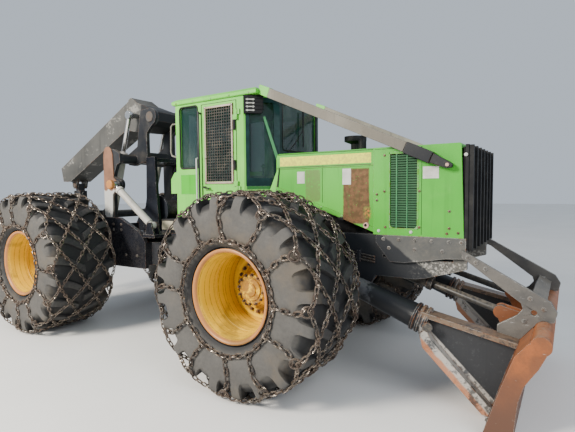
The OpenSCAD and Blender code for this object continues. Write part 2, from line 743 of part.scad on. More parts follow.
lift_r = 62;
module blade_barrels() {
    color([0.12, 0.12, 0.13]) on_front() both_sides()
        barrel_xz(lift_base, lift_pin, lift_y, lift_r, 760, 60, 30);
}
module blade_rods() {
    color([0.75, 0.75, 0.77]) on_front() both_sides()
        rod_xz(lift_base, lift_pin, lift_y, lift_r, 380, 52, 84 - 2 * side_gap);
}

// Steering cylinders lie flat beside the hinge
steer_pin = [-hinge_back - 330, 400];
steer_r = 48;

module steer_frame(s) {
    d = [steer_pin[0] - steer_base[0], steer_pin[1] - steer_base[1]];
    translate([front_x + steer_base[0], s * steer_base[1], steer_z])
        rotate([0, 0, s * atan2(d[1], d[0])]) rotate([0, 90, 0]) children();
}
steer_len = norm([steer_pin[0] - steer_base[0], steer_pin[1] - steer_base[1]]);

module steer_barrel(s) {
    color([0.12, 0.12, 0.13]) steer_frame(s) difference() {
        union() {
            translate([0, 0, 40]) cylinder(r = steer_r, h = 660);
            rotate([0, 90, 0]) cylinder(r = 50, h = 90, center = true);
        }
        rotate([0, 90, 0]) cylinder(r = 28 + fit, h = 100, center = true);
        translate([0, 0, 62]) cylinder(r = 26 + fit, h = 640);
    }
}
module steer_rod(s) {
    color([0.75, 0.75, 0.77]) steer_frame(s) {
        translate([0, 0, 400]) cylinder(r = 26, h = steer_len - 430);
        translate([0, 0, steer_len]) rotate([0, 90, 0]) cylinder(r = 46, h = 80, center = true);
    }
}

// Rear chassis, X from the rear axle

knuckle_x = wheelbase - hinge_back;
deck_z = 1385;
wing_y = 790;
nose_z = [ear_low_z + ear_t + 10, ear_high_z - 10];
arch_pivot = [430, 1440];
arch_pin_r = 45;
arch_base = [1510, 1510];
arch_rod_pin = [690, 2100];
arch_cyl_y = 715;
// Tail plate, and the tow lug on it with its hole
tail_x = -560;
tow_hole = -625;
tow_r = 32;
tow_z = 900;
tow_t = 70;

module rear_side() {
    polygon([[1330, 870], [1330, 1260], [1210, 1400], [760, rear_top_z], [-440, rear_top_z], [tail_x, 1400],
             [tail_x, 860], [-300, 860], [-230, saddle_z], [230, saddle_z], [300, 860]]);
}

module rear_chassis() {
    inner = rear_half - frame_t;
    color([0.12, 0.12, 0.13]) on_rear() {
        difference() {
            union() {
                plates(inner, rear_half) rear_side();
                translate([1270, -inner - 1, nose_z[0]]) cube([60, 2 * inner + 2, 1250 - nose_z[0]]);
                translate([0, 0, nose_z[0]]) linear_extrude(nose_z[1] - nose_z[0]) {
                    polygon([[1300, -600], [1300, 600], [knuckle_x, 150], [knuckle_x, -150]]);
                    translate([knuckle_x, 0]) circle(r = 160);
                }
            }
            translate([knuckle_x, 0, nose_z[0] - 1]) cylinder(r = hinge_r + fit, h = nose_z[1] - nose_z[0] + 2);
            // The steering rods reach the nose through pockets
            for (s = [-1, 1])
                translate([knuckle_x - 330, s * 400, steer_z]) cube([360, 260, 110], center = true);
        }
        // Deck behind the cab, over the hinge
        translate([0, 0, deck_z - 40]) linear_extrude(40)
            for (s = [-1, 1])
                polygon([[840, 0], [840, s * (inner + 1)], [1240, s * (inner + 1)], [1400, s * wing_y],
                         [1640, s * wing_y], [1640, s * 480], [knuckle_x - 20, s * 330], [knuckle_x - 20, 0]]);
        translate([1210, -inner - 1, 1240]) cube([60, 2 * inner + 2, 106]);
        // Rear butt plate and tow lug
        translate([tail_x, -inner - 1, 860]) cube([60, 2 * inner + 2, 540]);
        difference() {
            translate([tow_hole - 60, -120, tow_z]) cube([tail_x - tow_hole + 61, 240, tow_t]);
            translate([tow_hole, 0, tow_z - 1]) cylinder(r = tow_r, h = tow_t + 2);
        }
        both_sides() {
            // Pin of an arch leg
            cross_bar(arch_pivot[0], arch_pivot[1], arch_pin_r, arch_half - arch_t, inner + 1);
            // Clevis of an arch cylinder
            for (y = [arch_cyl_y - 42 - 20, arch_cyl_y + 42])
                plate(y, y + 20) polygon([[1620, deck_z - 1], [1440, deck_z - 1], [1455, 1500], [1490, 1556], [1560, 1560]]);
            cross_bar(arch_base[0], arch_base[1], 30, arch_cyl_y - 62, arch_cyl_y + 62);
        }
    }
}

module winch_tower() {
    color([0.1, 0.1, 0.11]) on_rear() {
        plates(300, 350) polygon([[860, deck_z + fit], [1240, deck_z + fit], [1190, 2000], [1170, 2520], [980, 2520], [960, 1900]]);
        translate([985, -301, 2440]) cube([180, 602, 60]);
        cross_bar(1070, 1700, 60, -301, 301);
        cross_bar(1070, 1700, 120, -200, 200);
        for (y = [-230, 200]) cross_bar(1070, 1700, 230, y, y + 30);
    }
}

module service_box() {
    color([0.45, 0.45, 0.43]) on_rear() translate([1290, -350, deck_z + fit]) cube([340, 700, 190]);
}

// Arch

boom_pivot = [1010, 3140];
boom_pin_r = 55;
neck_y = [230, 290];
boom_base = [160, 1640];
boom_rod_pin = [640, 3190];
boom_cyl_y = 372;

module arch_frame() {
    color([0.1, 0.1, 0.11]) on_rear() difference() {
        union() {
            plates(arch_half - arch_t, arch_half) {
                polygon([[330, 1440], [530, 1440], [540, 1950], [640, 2010], [640, 2190], [545, 2230],
                         [620, 2400], [700, 2440], [700, 2570], [540, 2650], [320, 2650]]);
                translate(arch_pivot) circle(r = 105);
                translate(arch_rod_pin - [40, 0]) circle(r = 92);
            }
            cross_bar(625, 2500, 75, -arch_half + 1, arch_half - 1);
            cross_bar(boom_base[0] + 165, boom_base[1], 60, -arch_half + 1, arch_half - 1);
            plates(arch_half - arch_t, arch_half) polygon([[330, 1560], [240, 1600], [240, 1700], [330, 1760]]);
            // Neck up to the boom's pivot
            plates(neck_y[0], neck_y[1]) {
                polygon([[480, 2420], [620, 2400], [930, 2480], [930, 2900], [1100, 3060], [950, 3270],
                         [800, 3260], [740, 2960], [700, 2700], [480, 2590]]);
                translate(boom_pivot) circle(r = 135);
            }
            translate([640, -neck_y[0] - 1, 2440]) cube([280, 2 * neck_y[0] + 2, 160]);
            // Ears for the boom cylinders
            for (s = [-1, 1], e = [-1, 1])
                translate([0, s * boom_cyl_y + e * 52, 0]) plate(-10, 10) {
                    translate(boom_base) circle(r = 62);
                    polygon([boom_base + [0, 50], boom_base + [165, 30], boom_base + [165, -30], boom_base + [0, -61]]);
                }
            both_sides() cross_bar(boom_base[0], boom_base[1], 32, boom_cyl_y - 62, boom_cyl_y + 62);
            // Pin bosses of the arch cylinders
            both_sides() cross_bar(arch_rod_pin[0], arch_rod_pin[1], 62, arch_half - 1, arch_cyl_y - 40 - side_gap);
        }
        both_sides() cross_bar(arch_pivot[0], arch_pivot[1], arch_pin_r + fit, arch_half - arch_t - 1, arch_half + 1);
        both_sides() cross_bar(boom_pivot[0], boom_pivot[1], boom_pin_r + fit, neck_y[0] - 1, neck_y[1] + 1);
    }
}

module arch_guards() {
    color([0.55, 0.38, 0.28]) on_rear() plates(arch_half, arch_half + 18) {
        polygon([[320, 1640], [360, 1600], [490, 1600], [520, 1700], [530, 1950], [600, 2020], [620, 2038],
                 [620, 2162], [560, 2210], [545, 2560], [510, 2650], [455, 2690], [400, 2690], [345, 2650],
                 [320, 2560]]);
    }
}

arch_cyl_r = 52;
module arch_barrels() {
    color([0.72, 0.72, 0.72]) on_rear() both_sides()
        barrel_xz(arch_base, arch_rod_pin, arch_cyl_y, arch_cyl_r, 880, 52, 30);
}
module arch_rods() {
    color([0.8, 0.8, 0.8]) on_rear() both_sides()
        rod_xz(arch_base, arch_rod_pin, arch_cyl_y, arch_cyl_r, 480, 52, 80);
}

// Boom

module boom() {
    tip = [-1390, 2200];
    color([0.38, 0.39, 0.4]) on_rear() difference() {
        union() {
            plate(-boom_half, boom_half)
                polygon([[480, 3500], [320, 3000], [-1330, 2190], [-1480, 2190], [-1560, 2190],
                         [-tip_reach, 2440]]);
            plate(-boom_half - 15, boom_half + 15) {
                polygon([[420, 3480], [480, 3505], [640, 3400], [1000, 3270], [1080, 3220], [1090, 3080],
                         [960, 3010], [740, 2940], [330, 2990], [300, 3040]]);
            }
            // Hanger at the tip
            plates(70, 110) polygon([[-1460, 2260], [-1250, 2320], [-1240, 2250], [-1310, 2060], [-1390, 2060]]);
            // Trunnion for the rods of the boom cylinders
            cross_bar(boom_rod_pin[0], boom_rod_pin[1], 38, -boom_cyl_y + 40 + side_gap, boom_cyl_y - 40 - side_gap);
            cross_bar(boom_pivot[0], boom_pivot[1], boom_pin_r, -neck_y[1] - 12, neck_y[1] + 12);
        }
        cross_bar(hang_pin[0], hang_pin[1], 34 + fit, -111, 111);
    }
}

module boom_barrels() {
    color([0.6, 0.6, 0.6]) on_rear() both_sides()
        barrel_xz(boom_base, boom_rod_pin, boom_cyl_y, 62, 1020, 60, 32);
}
module boom_rods() {
    color([0.8, 0.8, 0.8]) on_rear() both_sides()
        rod_xz(boom_base, boom_rod_pin, boom_cyl_y, 62, 560, 62, 80);
}

// Grapple

hang_pin = [-1350, 2120];
swing_z = 1960;
head_z = [1330, 1640];
tong_pivot = [255, 1330];
tong_pin_r = 40;

module crosshead() {
    color([0.35, 0.34, 0.33]) on_rear() {
        cross_bar(hang_pin[0], hang_pin[1], 34, -120, 120);
        translate([hang_pin[0] - 45, -62, swing_z + 60]) cube([90, 124, hang_pin[1] - 30 - swing_z]);
        translate([hang_pin[0], 0, swing_z]) rotate([0, 90, 0]) cylinder(r = 34, h = 220, center = true);
        translate([hang_pin[0] - 50, -60, swing_z - 50]) cube([100, 120, 111]);
    }
}

module rotator() {
    color([0.3, 0.3, 0.3]) on_rear() {
        difference() {
            for (s = [-1, 1])
                translate([hang_pin[0] + s * 80 - 20, -70, 1850]) cube([40, 140, 170]);
            translate([hang_pin[0], 0, swing_z]) rotate([0, 90, 0]) cylinder(r = 34 + fit, h = 230, center = true);
        }
        translate([hang_pin[0], 0, 1700]) cylinder(r = 120, h = 151);
        translate([hang_pin[0], 0, head_z[1] - 60]) cylinder(r = 60, h = 100);
    }
}

module grapple_head() {
    color([0.2, 0.2, 0.21]) on_rear() difference() {
        union() {
            translate([hang_pin[0], 0, head_z[1] + 1]) cylinder(r = 170, h = 59 - side_gap);
            translate([hang_pin[0] - 210, -300, head_z[1] - 60]) cube([420, 600, 62]);
            for (x = [-240, 210])
                translate([hang_pin[0] + x, 0, 0]) rotate([90, 0, 90]) linear_extrude(30)
                    polygon([[-330, 1560], [-350, 1330], [-290, 1250], [-200, 1250], [-120, 1380], [120, 1380],
                             [200, 1250], [290, 1250], [350, 1330], [330, 1560], [300, 1641], [-300, 1641]]);
        }
        translate([hang_pin[0], 0, head_z[1] - 61]) cylinder(r = 60 + fit, h = 120);
        for (s = [-1, 1]) translate([hang_pin[0], s * tong_pivot[0], tong_pivot[1]])
            rotate([0, 90, 0]) cylinder(r = tong_pin_r + fit, h = 500, center = true);
    }
}

// One tong, on the +Y side; its curve comes in to the middle at the tip
function tong_arc(r, a0, a1, n, c) = [for (i = [0:n]) let (a = a0 + (a1 - a0) * i / n) [c[0] + r * cos(a), c[1] + r * sin(a)]];

module tong_side() {
    c = [-30, tong_pivot[1] - tong_drop / 2];
    polygon(concat(tong_arc(tong_drop / 2 + 60, 50, -78, 8, c), tong_arc(tong_drop / 2 - 90, -66, 40, 7, c + [10, 20])));
    translate(tong_pivot) circle(r = 85);
}

module tong(tines) {
    difference() {
        union() {
            for (x = tines) translate([hang_pin[0] + x - 20, 0, 0]) rotate([90, 0, 90]) linear_extrude(40) tong_side();
            translate([hang_pin[0] + tines[0], tong_pivot[0] + 100, tong_pivot[1] - 330]) cube([tines[1] - tines[0], 50, 160]);
            translate([hang_pin[0] + tines[0], tong_pivot[0], tong_pivot[1]])
                rotate([0, 90, 0]) cylinder(r = 62, h = tines[1] - tines[0]);
        }
    }
    translate([hang_pin[0] - 250, tong_pivot[0], tong_pivot[1]]) rotate([0, 90, 0]) cylinder(r = tong_pin_r, h = 500);
}

module tong_left() { color([0.25, 0.24, 0.23]) on_rear() tong([-170, 170]); }
module tong_right() { color([0.25, 0.24, 0.23]) on_rear() mirror([0, 1, 0]) tong([-110, 110]); }

// Doors

module door(s) {
    color([0.36, 0.68, 0.28]) on_front() mirror([0, s > 0 ? 0 : 1, 0]) {
        difference() {
            plate(cab_half - door_t, cab_half) door_outline(0);
            plate(cab_half - door_t - 1, cab_half + 1) rounded(-1205, -775, 2110, 3020, 20);
        }
        for (z = [1985 + 61, 2900 - 61]) {
            translate([hinge_line_x, cab_half + 16, z]) cylinder(r = 14, h = 60);
            translate([door_x[1] - 40, cab_half - 1, z]) cube([39, 18, 60]);
            translate([door_x[1] - 2, cab_half + 5, z]) cube([24, 12, 60]);
        }
        for (z = [1985, 2900 - 61]) translate([hinge_line_x, cab_half + 16, z]) cylinder(r = 6, h = 121);
        translate([door_x[0] + 40, cab_half, 2010]) cube([90, 30, 24]);
    }
}

module door_guard(s) {
    color([0.25, 0.18, 0.14]) on_front() mirror([0, s > 0 ? 0 : 1, 0]) difference() {
        plate(cab_half + fit, cab_half + 14) rounded(-1222, -758, 2080, 3040, 20);
        for (i = [0:5], j = [0:9])
            translate([-1200 + i * 72, cab_half - 1, 2106 + j * 92]) cube([56, 20, 76]);
    }
}

module door_glass(s) {
    color([0.35, 0.45, 0.5, 0.5]) on_front() mirror([0, s > 0 ? 0 : 1, 0])
        plate(cab_half - 30, cab_half - 30 + pane_t) rounded(-1205 + fit, -775 - fit, 2110 + fit, 3020 - fit, 20);
}

module tyre_front_right() { tyre(0); }
module tyre_front_left() { tyre(1); }
module tyre_rear_right() { tyre(2); }
module tyre_rear_left() { tyre(3); }
module chain_front_right() { chain(0); }
module chain_front_left() { chain(1); }
module chain_rear_right() { chain(2); }
module chain_rear_left() { chain(3); }
module rim_front_right() { rim(0); }
module rim_front_left() { rim(1); }
module rim_rear_right() { rim(2); }
module rim_rear_left() { rim(3); }
module steer_barrel_right() { steer_barrel(-1); }
module steer_barrel_left() { steer_barrel(1); }
module steer_rod_right() { steer_rod(-1); }
module steer_rod_left() { steer_rod(1); }
module door_right() { door(-1); }
module door_left() { door(1); }
module door_guard_right() { door_guard(-1); }
module door_guard_left() { door_guard(1); }
module door_glass_right() { door_glass(-1); }
module door_glass_left() { door_glass(1); }

front_chassis();
engine_block();
hood();
radiator_housing();
side_mesh();
front_grille();
cab_shell();
cab_roof();
cab_glass();
seat();
console();
roof_lamps();
limb_risers();
intake_stack();
steps_rails();
front_axle();
tyre_front_right();
tyre_front_left();
tyre_rear_right();
tyre_rear_left();
chain_front_right();
chain_front_left();
chain_rear_right();
chain_rear_left();
rim_front_right();
rim_front_left();
rim_rear_right();
rim_rear_left();
blade_board();
push_arms();
guard_plates();
blade_barrels();
blade_rods();
steer_barrel_right();
steer_barrel_left();
steer_rod_right();
steer_rod_left();
rear_chassis();
rear_axle();
winch_tower();
service_box();
arch_frame();
arch_guards();
arch_barrels();
arch_rods();
boom();
boom_barrels();
boom_rods();
crosshead();
rotator();
grapple_head();
tong_right();
tong_left();
door_right();
door_left();
door_guard_right();
door_guard_left();
door_glass_right();
door_glass_left();
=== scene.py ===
"""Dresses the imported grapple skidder: finishes for its solids, and the detail that stands on them.

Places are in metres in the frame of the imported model. Most are given from the front or the rear axle.
"""

from __future__ import annotations

import logging
import math
from dataclasses import dataclass, field
from enum import Enum
from typing import Iterable, Optional, Sequence, Union

import bmesh
import bpy
from mathutils import Matrix, Vector


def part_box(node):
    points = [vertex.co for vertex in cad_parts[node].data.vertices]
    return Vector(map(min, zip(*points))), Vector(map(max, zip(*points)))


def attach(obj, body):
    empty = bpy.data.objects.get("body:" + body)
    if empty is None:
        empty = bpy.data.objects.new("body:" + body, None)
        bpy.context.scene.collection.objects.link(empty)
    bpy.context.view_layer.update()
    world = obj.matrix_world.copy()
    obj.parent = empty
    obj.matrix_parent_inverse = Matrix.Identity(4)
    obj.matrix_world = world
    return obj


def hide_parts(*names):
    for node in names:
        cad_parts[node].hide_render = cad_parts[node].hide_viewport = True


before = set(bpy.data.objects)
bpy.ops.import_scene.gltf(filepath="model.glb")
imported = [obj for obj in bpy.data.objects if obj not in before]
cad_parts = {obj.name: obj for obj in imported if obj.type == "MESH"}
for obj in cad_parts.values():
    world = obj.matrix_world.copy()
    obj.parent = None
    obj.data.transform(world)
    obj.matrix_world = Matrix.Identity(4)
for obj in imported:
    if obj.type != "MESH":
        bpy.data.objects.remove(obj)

log = logging.getLogger("skidder")

Colour = tuple[float, float, float]
Place = tuple[float, float, float]
Spot = tuple[Place, Place]
Pair = tuple[float, float]
Number = Union[int, float]
Value = Union["Field", int, float]
Socket = bpy.types.NodeSocket
Material = bpy.types.Material
Mesh = bpy.types.Mesh


def middle(node: str) -> Vector:
    """Returns the middle of a CAD node's box.

    Args:
        node: Name of the node.

    Returns:
        The middle, in metres.
    """
    low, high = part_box(node)
    return (low + high) / 2


HUB_RIGHT = middle("tyre_front_right")
FRONT_X = HUB_RIGHT.x
REAR_X = middle("tyre_rear_right").x
AXLE_Z = 1.0
TRACK = abs(HUB_RIGHT.y)
MIDWAY = -0.5
FRONT = "front_frame"
REAR = "rear_frame"
RIGHTWARD: Place = (0.0, -1.0, 0.0)
LEFTWARD: Place = (0.0, 1.0, 0.0)


def front(x: float, y: float, z: float) -> Place:
    """Returns the place at x ahead of the front axle."""
    return (FRONT_X + x, y, z)


def rear(x: float, y: float, z: float) -> Place:
    """Returns the place at x ahead of the rear axle."""
    return (REAR_X + x, y, z)


def profile(*pairs: Pair) -> list[Pair]:
    """Returns a side view's outline, given ahead of the front axle, in the frame of the model."""
    return [(FRONT_X + x, z) for x, z in pairs]


def pane(x: Pair, y: Pair, z: Pair) -> list[Place]:
    """Returns the corners of an upright pane near the front axle, round from its lower start."""
    return [front(x[i], y[i], z[j]) for i, j in ((0, 0), (1, 0), (1, 1), (0, 1))]


class Side(Enum):
    """Side of the machine, as the sign of Y."""

    RIGHT = -1
    LEFT = 1


class Way(Enum):
    """Axis that an outline is stretched along."""

    ALONG = 0
    ACROSS = 1
    UP = 2


# Node trees


class Tree:
    """A node tree with one method for every node in it."""

    def __init__(self, tree: bpy.types.NodeTree) -> None:
        """Keeps the tree.

        Args:
            tree: Tree of a material or a geometry group.
        """
        self.tree = tree

    def node(self, kind: str, settings: Optional[dict] = None,
             inputs: Optional[dict] = None) -> bpy.types.Node:
        """Adds a node, sets it up and feeds its sockets.

        Args:
            kind: Type of the node.
            settings: Its own settings.
            inputs: Values, sockets or fields by socket name or number.

        Returns:
            The node.
        """
        made = self.tree.nodes.new(kind)
        for key, value in (settings or {}).items():
            setattr(made, key, value)
        for key, value in (inputs or {}).items():
            self.feed(made.inputs[key], value)
        return made

    def feed(self, socket: Socket, value: object) -> None:
        """Links a socket or sets its value.

        Args:
            socket: Input to feed.
            value: Field, socket, colour, vector or number.
        """
        if isinstance(value, Field):
            value = value.socket
        if isinstance(value, Socket):
            self.tree.links.new(value, socket)
        elif socket.type == "RGBA":
            socket.default_value = (*value, 1.0)
        else:
            socket.default_value = value


class Field:
    """A value that varies over a surface, for plain arithmetic."""

    def __init__(self, shader: "Shader", socket: Socket) -> None:
        """Keeps the shader and the socket."""
        self.shader = shader
        self.socket = socket

    def _math(self, operation: str, other: Value = 0.0, swap: bool = False) -> "Field":
        """Adds one Math node.

        Args:
            operation: The node's operation.
            other: The second value.
            swap: Puts the second value first.

        Returns:
            The result.
        """
        pair = [self, other]
        if swap:
            pair.reverse()
        made = self.shader.node("ShaderNodeMath", {"operation": operation}, {0: pair[0], 1: pair[1]})
        return Field(self.shader, made.outputs[0])

    def __add__(self, other: Value) -> "Field":
        """Adds."""
        return self._math("ADD", other)

    def __radd__(self, other: Number) -> "Field":
        """Adds, with the number first."""
        return self._math("ADD", other, swap=True)

    def __sub__(self, other: Value) -> "Field":
        """Subtracts."""
        return self._math("SUBTRACT", other)

    def __rsub__(self, other: Number) -> "Field":
        """Subtracts from a number."""
        return self._math("SUBTRACT", other, swap=True)

    def __mul__(self, other: Value) -> "Field":
        """Multiplies."""
        return self._math("MULTIPLY", other)

    def __rmul__(self, other: Number) -> "Field":
        """Multiplies, with the number first."""
        return self._math("MULTIPLY", other, swap=True)

    def __pow__(self, other: Number) -> "Field":
        """Raises to a power."""
        return self._math("POWER", other)

    def __abs__(self) -> "Field":
        """Takes the size without its sign."""
        return self._math("ABSOLUTE")

    def sine(self) -> "Field":
        """Returns the sine."""
        return self._math("SINE")

    def least(self, other: Value) -> "Field":
        """Returns the smaller value."""
        return self._math("MINIMUM", other)

    def most(self, other: Value) -> "Field":
        """Returns the larger value."""
        return self._math("MAXIMUM", other)

    def ramp(self, low: float, high: float) -> "Field":
        """Rises smoothly from 0 to 1.

        Args:
            low: Value that gives 0. It may be above high.
            high: Value that gives 1.

        Returns:
            The mask.
        """
        kind = {"interpolation_type": "SMOOTHSTEP"}
        if low <= high:
            made = self.shader.node("ShaderNodeMapRange", kind, {0: self, 1: low, 2: high})
            return Field(self.shader, made.outputs[0])
        made = self.shader.node("ShaderNodeMapRange", kind, {0: self, 1: high, 2: low})
        return 1.0 - Field(self.shader, made.outputs[0])

    def within(self, low: float, high: float, soft: float = 0.003) -> "Field":
        """Returns 1 between two values and 0 outside, with soft edges."""
        return self.ramp(low - soft, low + soft) * self.ramp(high + soft, high - soft)


class Shader(Tree):
    """A material that is being built."""

    def __init__(self, name: str) -> None:
        """Starts an empty material.

        Args:
            name: Its name.
        """
        self.material = bpy.data.materials.new(name)
        self.material.use_nodes = True
        super().__init__(self.material.node_tree)
        self.tree.nodes.clear()
        self.coordinates = self.node("ShaderNodeTexCoord")
        parts = self.node("ShaderNodeSeparateXYZ", None, {0: self.coordinates.outputs["Object"]})
        self.x, self.y, self.z = (Field(self, parts.outputs[i]) for i in range(3))

    def noise(self, scale: float, detail: float = 4.0, rough: float = 0.55, stretch: Place = (1.0, 1.0, 1.0),
              shift: float = 0.0) -> Field:
        """Adds soft noise.

        Args:
            scale: Spots per metre.
            detail: Layers of finer noise.
            rough: Strength of the finer layers.
            stretch: Factors along X, Y and Z, small along a streak.
            shift: Moves the pattern.

        Returns:
            Values round 0.5.
        """
        moved = self.node("ShaderNodeVectorMath", {"operation": "MULTIPLY_ADD"},
                          {0: self.coordinates.outputs["Object"], 1: stretch, 2: (shift, shift, shift)})
        made = self.node("ShaderNodeTexNoise", None,
                         {"Vector": moved.outputs[0], "Scale": scale, "Detail": detail, "Roughness": rough})
        return Field(self, made.outputs[0])

    def up(self) -> Field:
        """Returns how far a face looks up, from -1 to 1."""
        parts = self.node("ShaderNodeSeparateXYZ", None, {0: self.coordinates.outputs["Normal"]})
        return Field(self, parts.outputs[2])

    def edges(self, radius: float) -> Field:
        """Returns a mask that is high near hard edges.

        Args:
            radius: Reach from the edge.

        Returns:
            About 0 on flat faces and up to 0.3 at a square edge.
        """
        soft = self.node("ShaderNodeBevel", {"samples": 4}, {"Radius": radius})
        true = self.node("ShaderNodeNewGeometry")
        dot = self.node("ShaderNodeVectorMath", {"operation": "DOT_PRODUCT"},
                        {0: soft.outputs[0], 1: true.outputs["True Normal"]})
        return 1.0 - Field(self, dot.outputs["Value"])

    def mix(self, share: Value, first: object, second: object) -> Socket:
        """Mixes two colours.

        Args:
            share: Share of the second colour.
            first: Colour or socket.
            second: Colour or socket.

        Returns:
            The mixed colour's socket.
        """
        made = self.node("ShaderNodeMix", {"data_type": "RGBA"}, {0: share, 6: first, 7: second})
        return made.outputs[2]

    def bump(self, height: Field, depth: float, strength: float = 1.0) -> Socket:
        """Turns a height into a normal.

        Args:
            height: Height from 0 to 1.
            depth: Depth of 1, in metres.
            strength: Share of the effect.

        Returns:
            The normal's socket.
        """
        made = self.node("ShaderNodeBump", None, {"Height": height, "Distance": depth, "Strength": strength})
        return made.outputs[0]

    def finish(self, **sockets: object) -> Material:
        """Adds the surface and ends the material.

        Args:
            **sockets: Values by socket name, with _ for a space.

        Returns:
            The material.
        """
        values = {name.replace("_", " "): value for name, value in sockets.items()}
        surface = self.node("ShaderNodeBsdfPrincipled", None, values)
        self.node("ShaderNodeOutputMaterial", None, {"Surface": surface.outputs[0]})
        return self.material


def wheel_places(s: Shader) -> tuple[Field, Field]:
    """Returns the distance from the nearer axle and from the middle plane of the nearer wheel.

    Args:
        s: Shader of the material.

    Returns:
        The radius and the distance across.
    """
    ahead = s.x.ramp(MIDWAY - 0.01, MIDWAY + 0.01)
    dx = s.x - (ahead * (FRONT_X - REAR_X) + REAR_X)
    dz = s.z - AXLE_Z
    return (dx * dx + dz * dz) ** 0.5, abs(abs(s.y) - TRACK)


# Finishes

DUST: Colour = (0.3, 0.25, 0.18)
RUST: Colour = (0.23, 0.085, 0.03)
BARE: Colour = (0.3, 0.29, 0.27)


@dataclass(frozen=True)
class Paint:
    """Outdoor paint with fading, runs of dirt, dust, and edges rubbed to steel and rust."""

    name: str
    colour: Colour
    faded: Colour
    gloss: float = 0.42
    wear: float = 0.4
    dirt: float = 0.4
    rust: float = 0.5
    shift: float = 0.0
    shine: float = 0.3

    def base(self, s: Shader) -> tuple[Socket, Field, Field]:
        """Builds the sound paint with its dirt.

        Args:
            s: Shader of the material.

        Returns:
            The colour, the mask of worn spots and the mask of dirt.
        """
        broad = s.noise(0.9, 3.0, shift=self.shift)
        cloud = s.noise(6.0, 5.0, 0.6, shift=self.shift + 3.0)
        runs = s.noise(1.0, 5.0, 0.6, (13.0, 13.0, 0.8), self.shift)
        fine = s.noise(38.0, 5.0, 0.65)
        up = s.up()
        colour = s.mix(broad.ramp(0.38, 0.66), self.colour, self.faded)
        dark = tuple(c * 0.62 for c in self.colour)
        colour = s.mix(runs.ramp(0.52, 0.74) * 0.45, colour, dark)
        colour = s.mix(cloud.ramp(0.55, 0.72) * 0.16, colour, self.faded)
        low = s.z.ramp(2.0, 0.5)
        dirt = (up.ramp(0.3, 0.95) * 0.65 + low * 0.5 + cloud.ramp(0.45, 0.75) * 0.4) * self.dirt
        dirt = dirt * fine.ramp(0.25, 0.7)
        colour = s.mix(dirt, colour, DUST)
        edge = s.edges(0.01)
        worn = edge * 6.0 * self.wear + cloud * 0.9 + fine * 0.75
        worn = worn.ramp(1.17 - 0.1 * self.wear, 1.27 - 0.08 * self.wear)
        return colour, worn, dirt

    def worn(self, s: Shader) -> Socket:
        """Returns the colour under the paint: bare steel turned to rust in patches."""
        patch = s.noise(16.0, 5.0, 0.6, shift=9.0)
        return s.mix(patch.ramp(0.62 - 0.3 * self.rust, 0.74 - 0.3 * self.rust), BARE, RUST)

    def close(self, s: Shader, colour: Socket, worn: Field, dirt: Field) -> Material:
        """Ends the material.

        Args:
            s: Shader of the material.
            colour: Colour of the sound paint.
            worn: Mask of worn spots.
            dirt: Mask of dirt.

        Returns:
            The material.
        """
        grain = s.noise(120.0, 3.0)
        colour = s.mix(worn, colour, self.worn(s))
        rough = self.gloss + dirt * 0.35 + worn * 0.22 + grain * 0.08
        height = grain * 0.12 + s.noise(3.0, 2.0) * 0.9 - worn * 0.35
        return s.finish(Base_Color=colour, Roughness=rough, Metallic=worn * 0.35,
                        Specular_IOR_Level=self.shine, Normal=s.bump(height, 0.002, 0.5))

    def dress(self) -> Material:
        """Builds the material.

        Returns:
            The material.
        """
        s = Shader(self.name)
        colour, worn, dirt = self.base(s)
        return self.close(s, colour, worn, dirt)


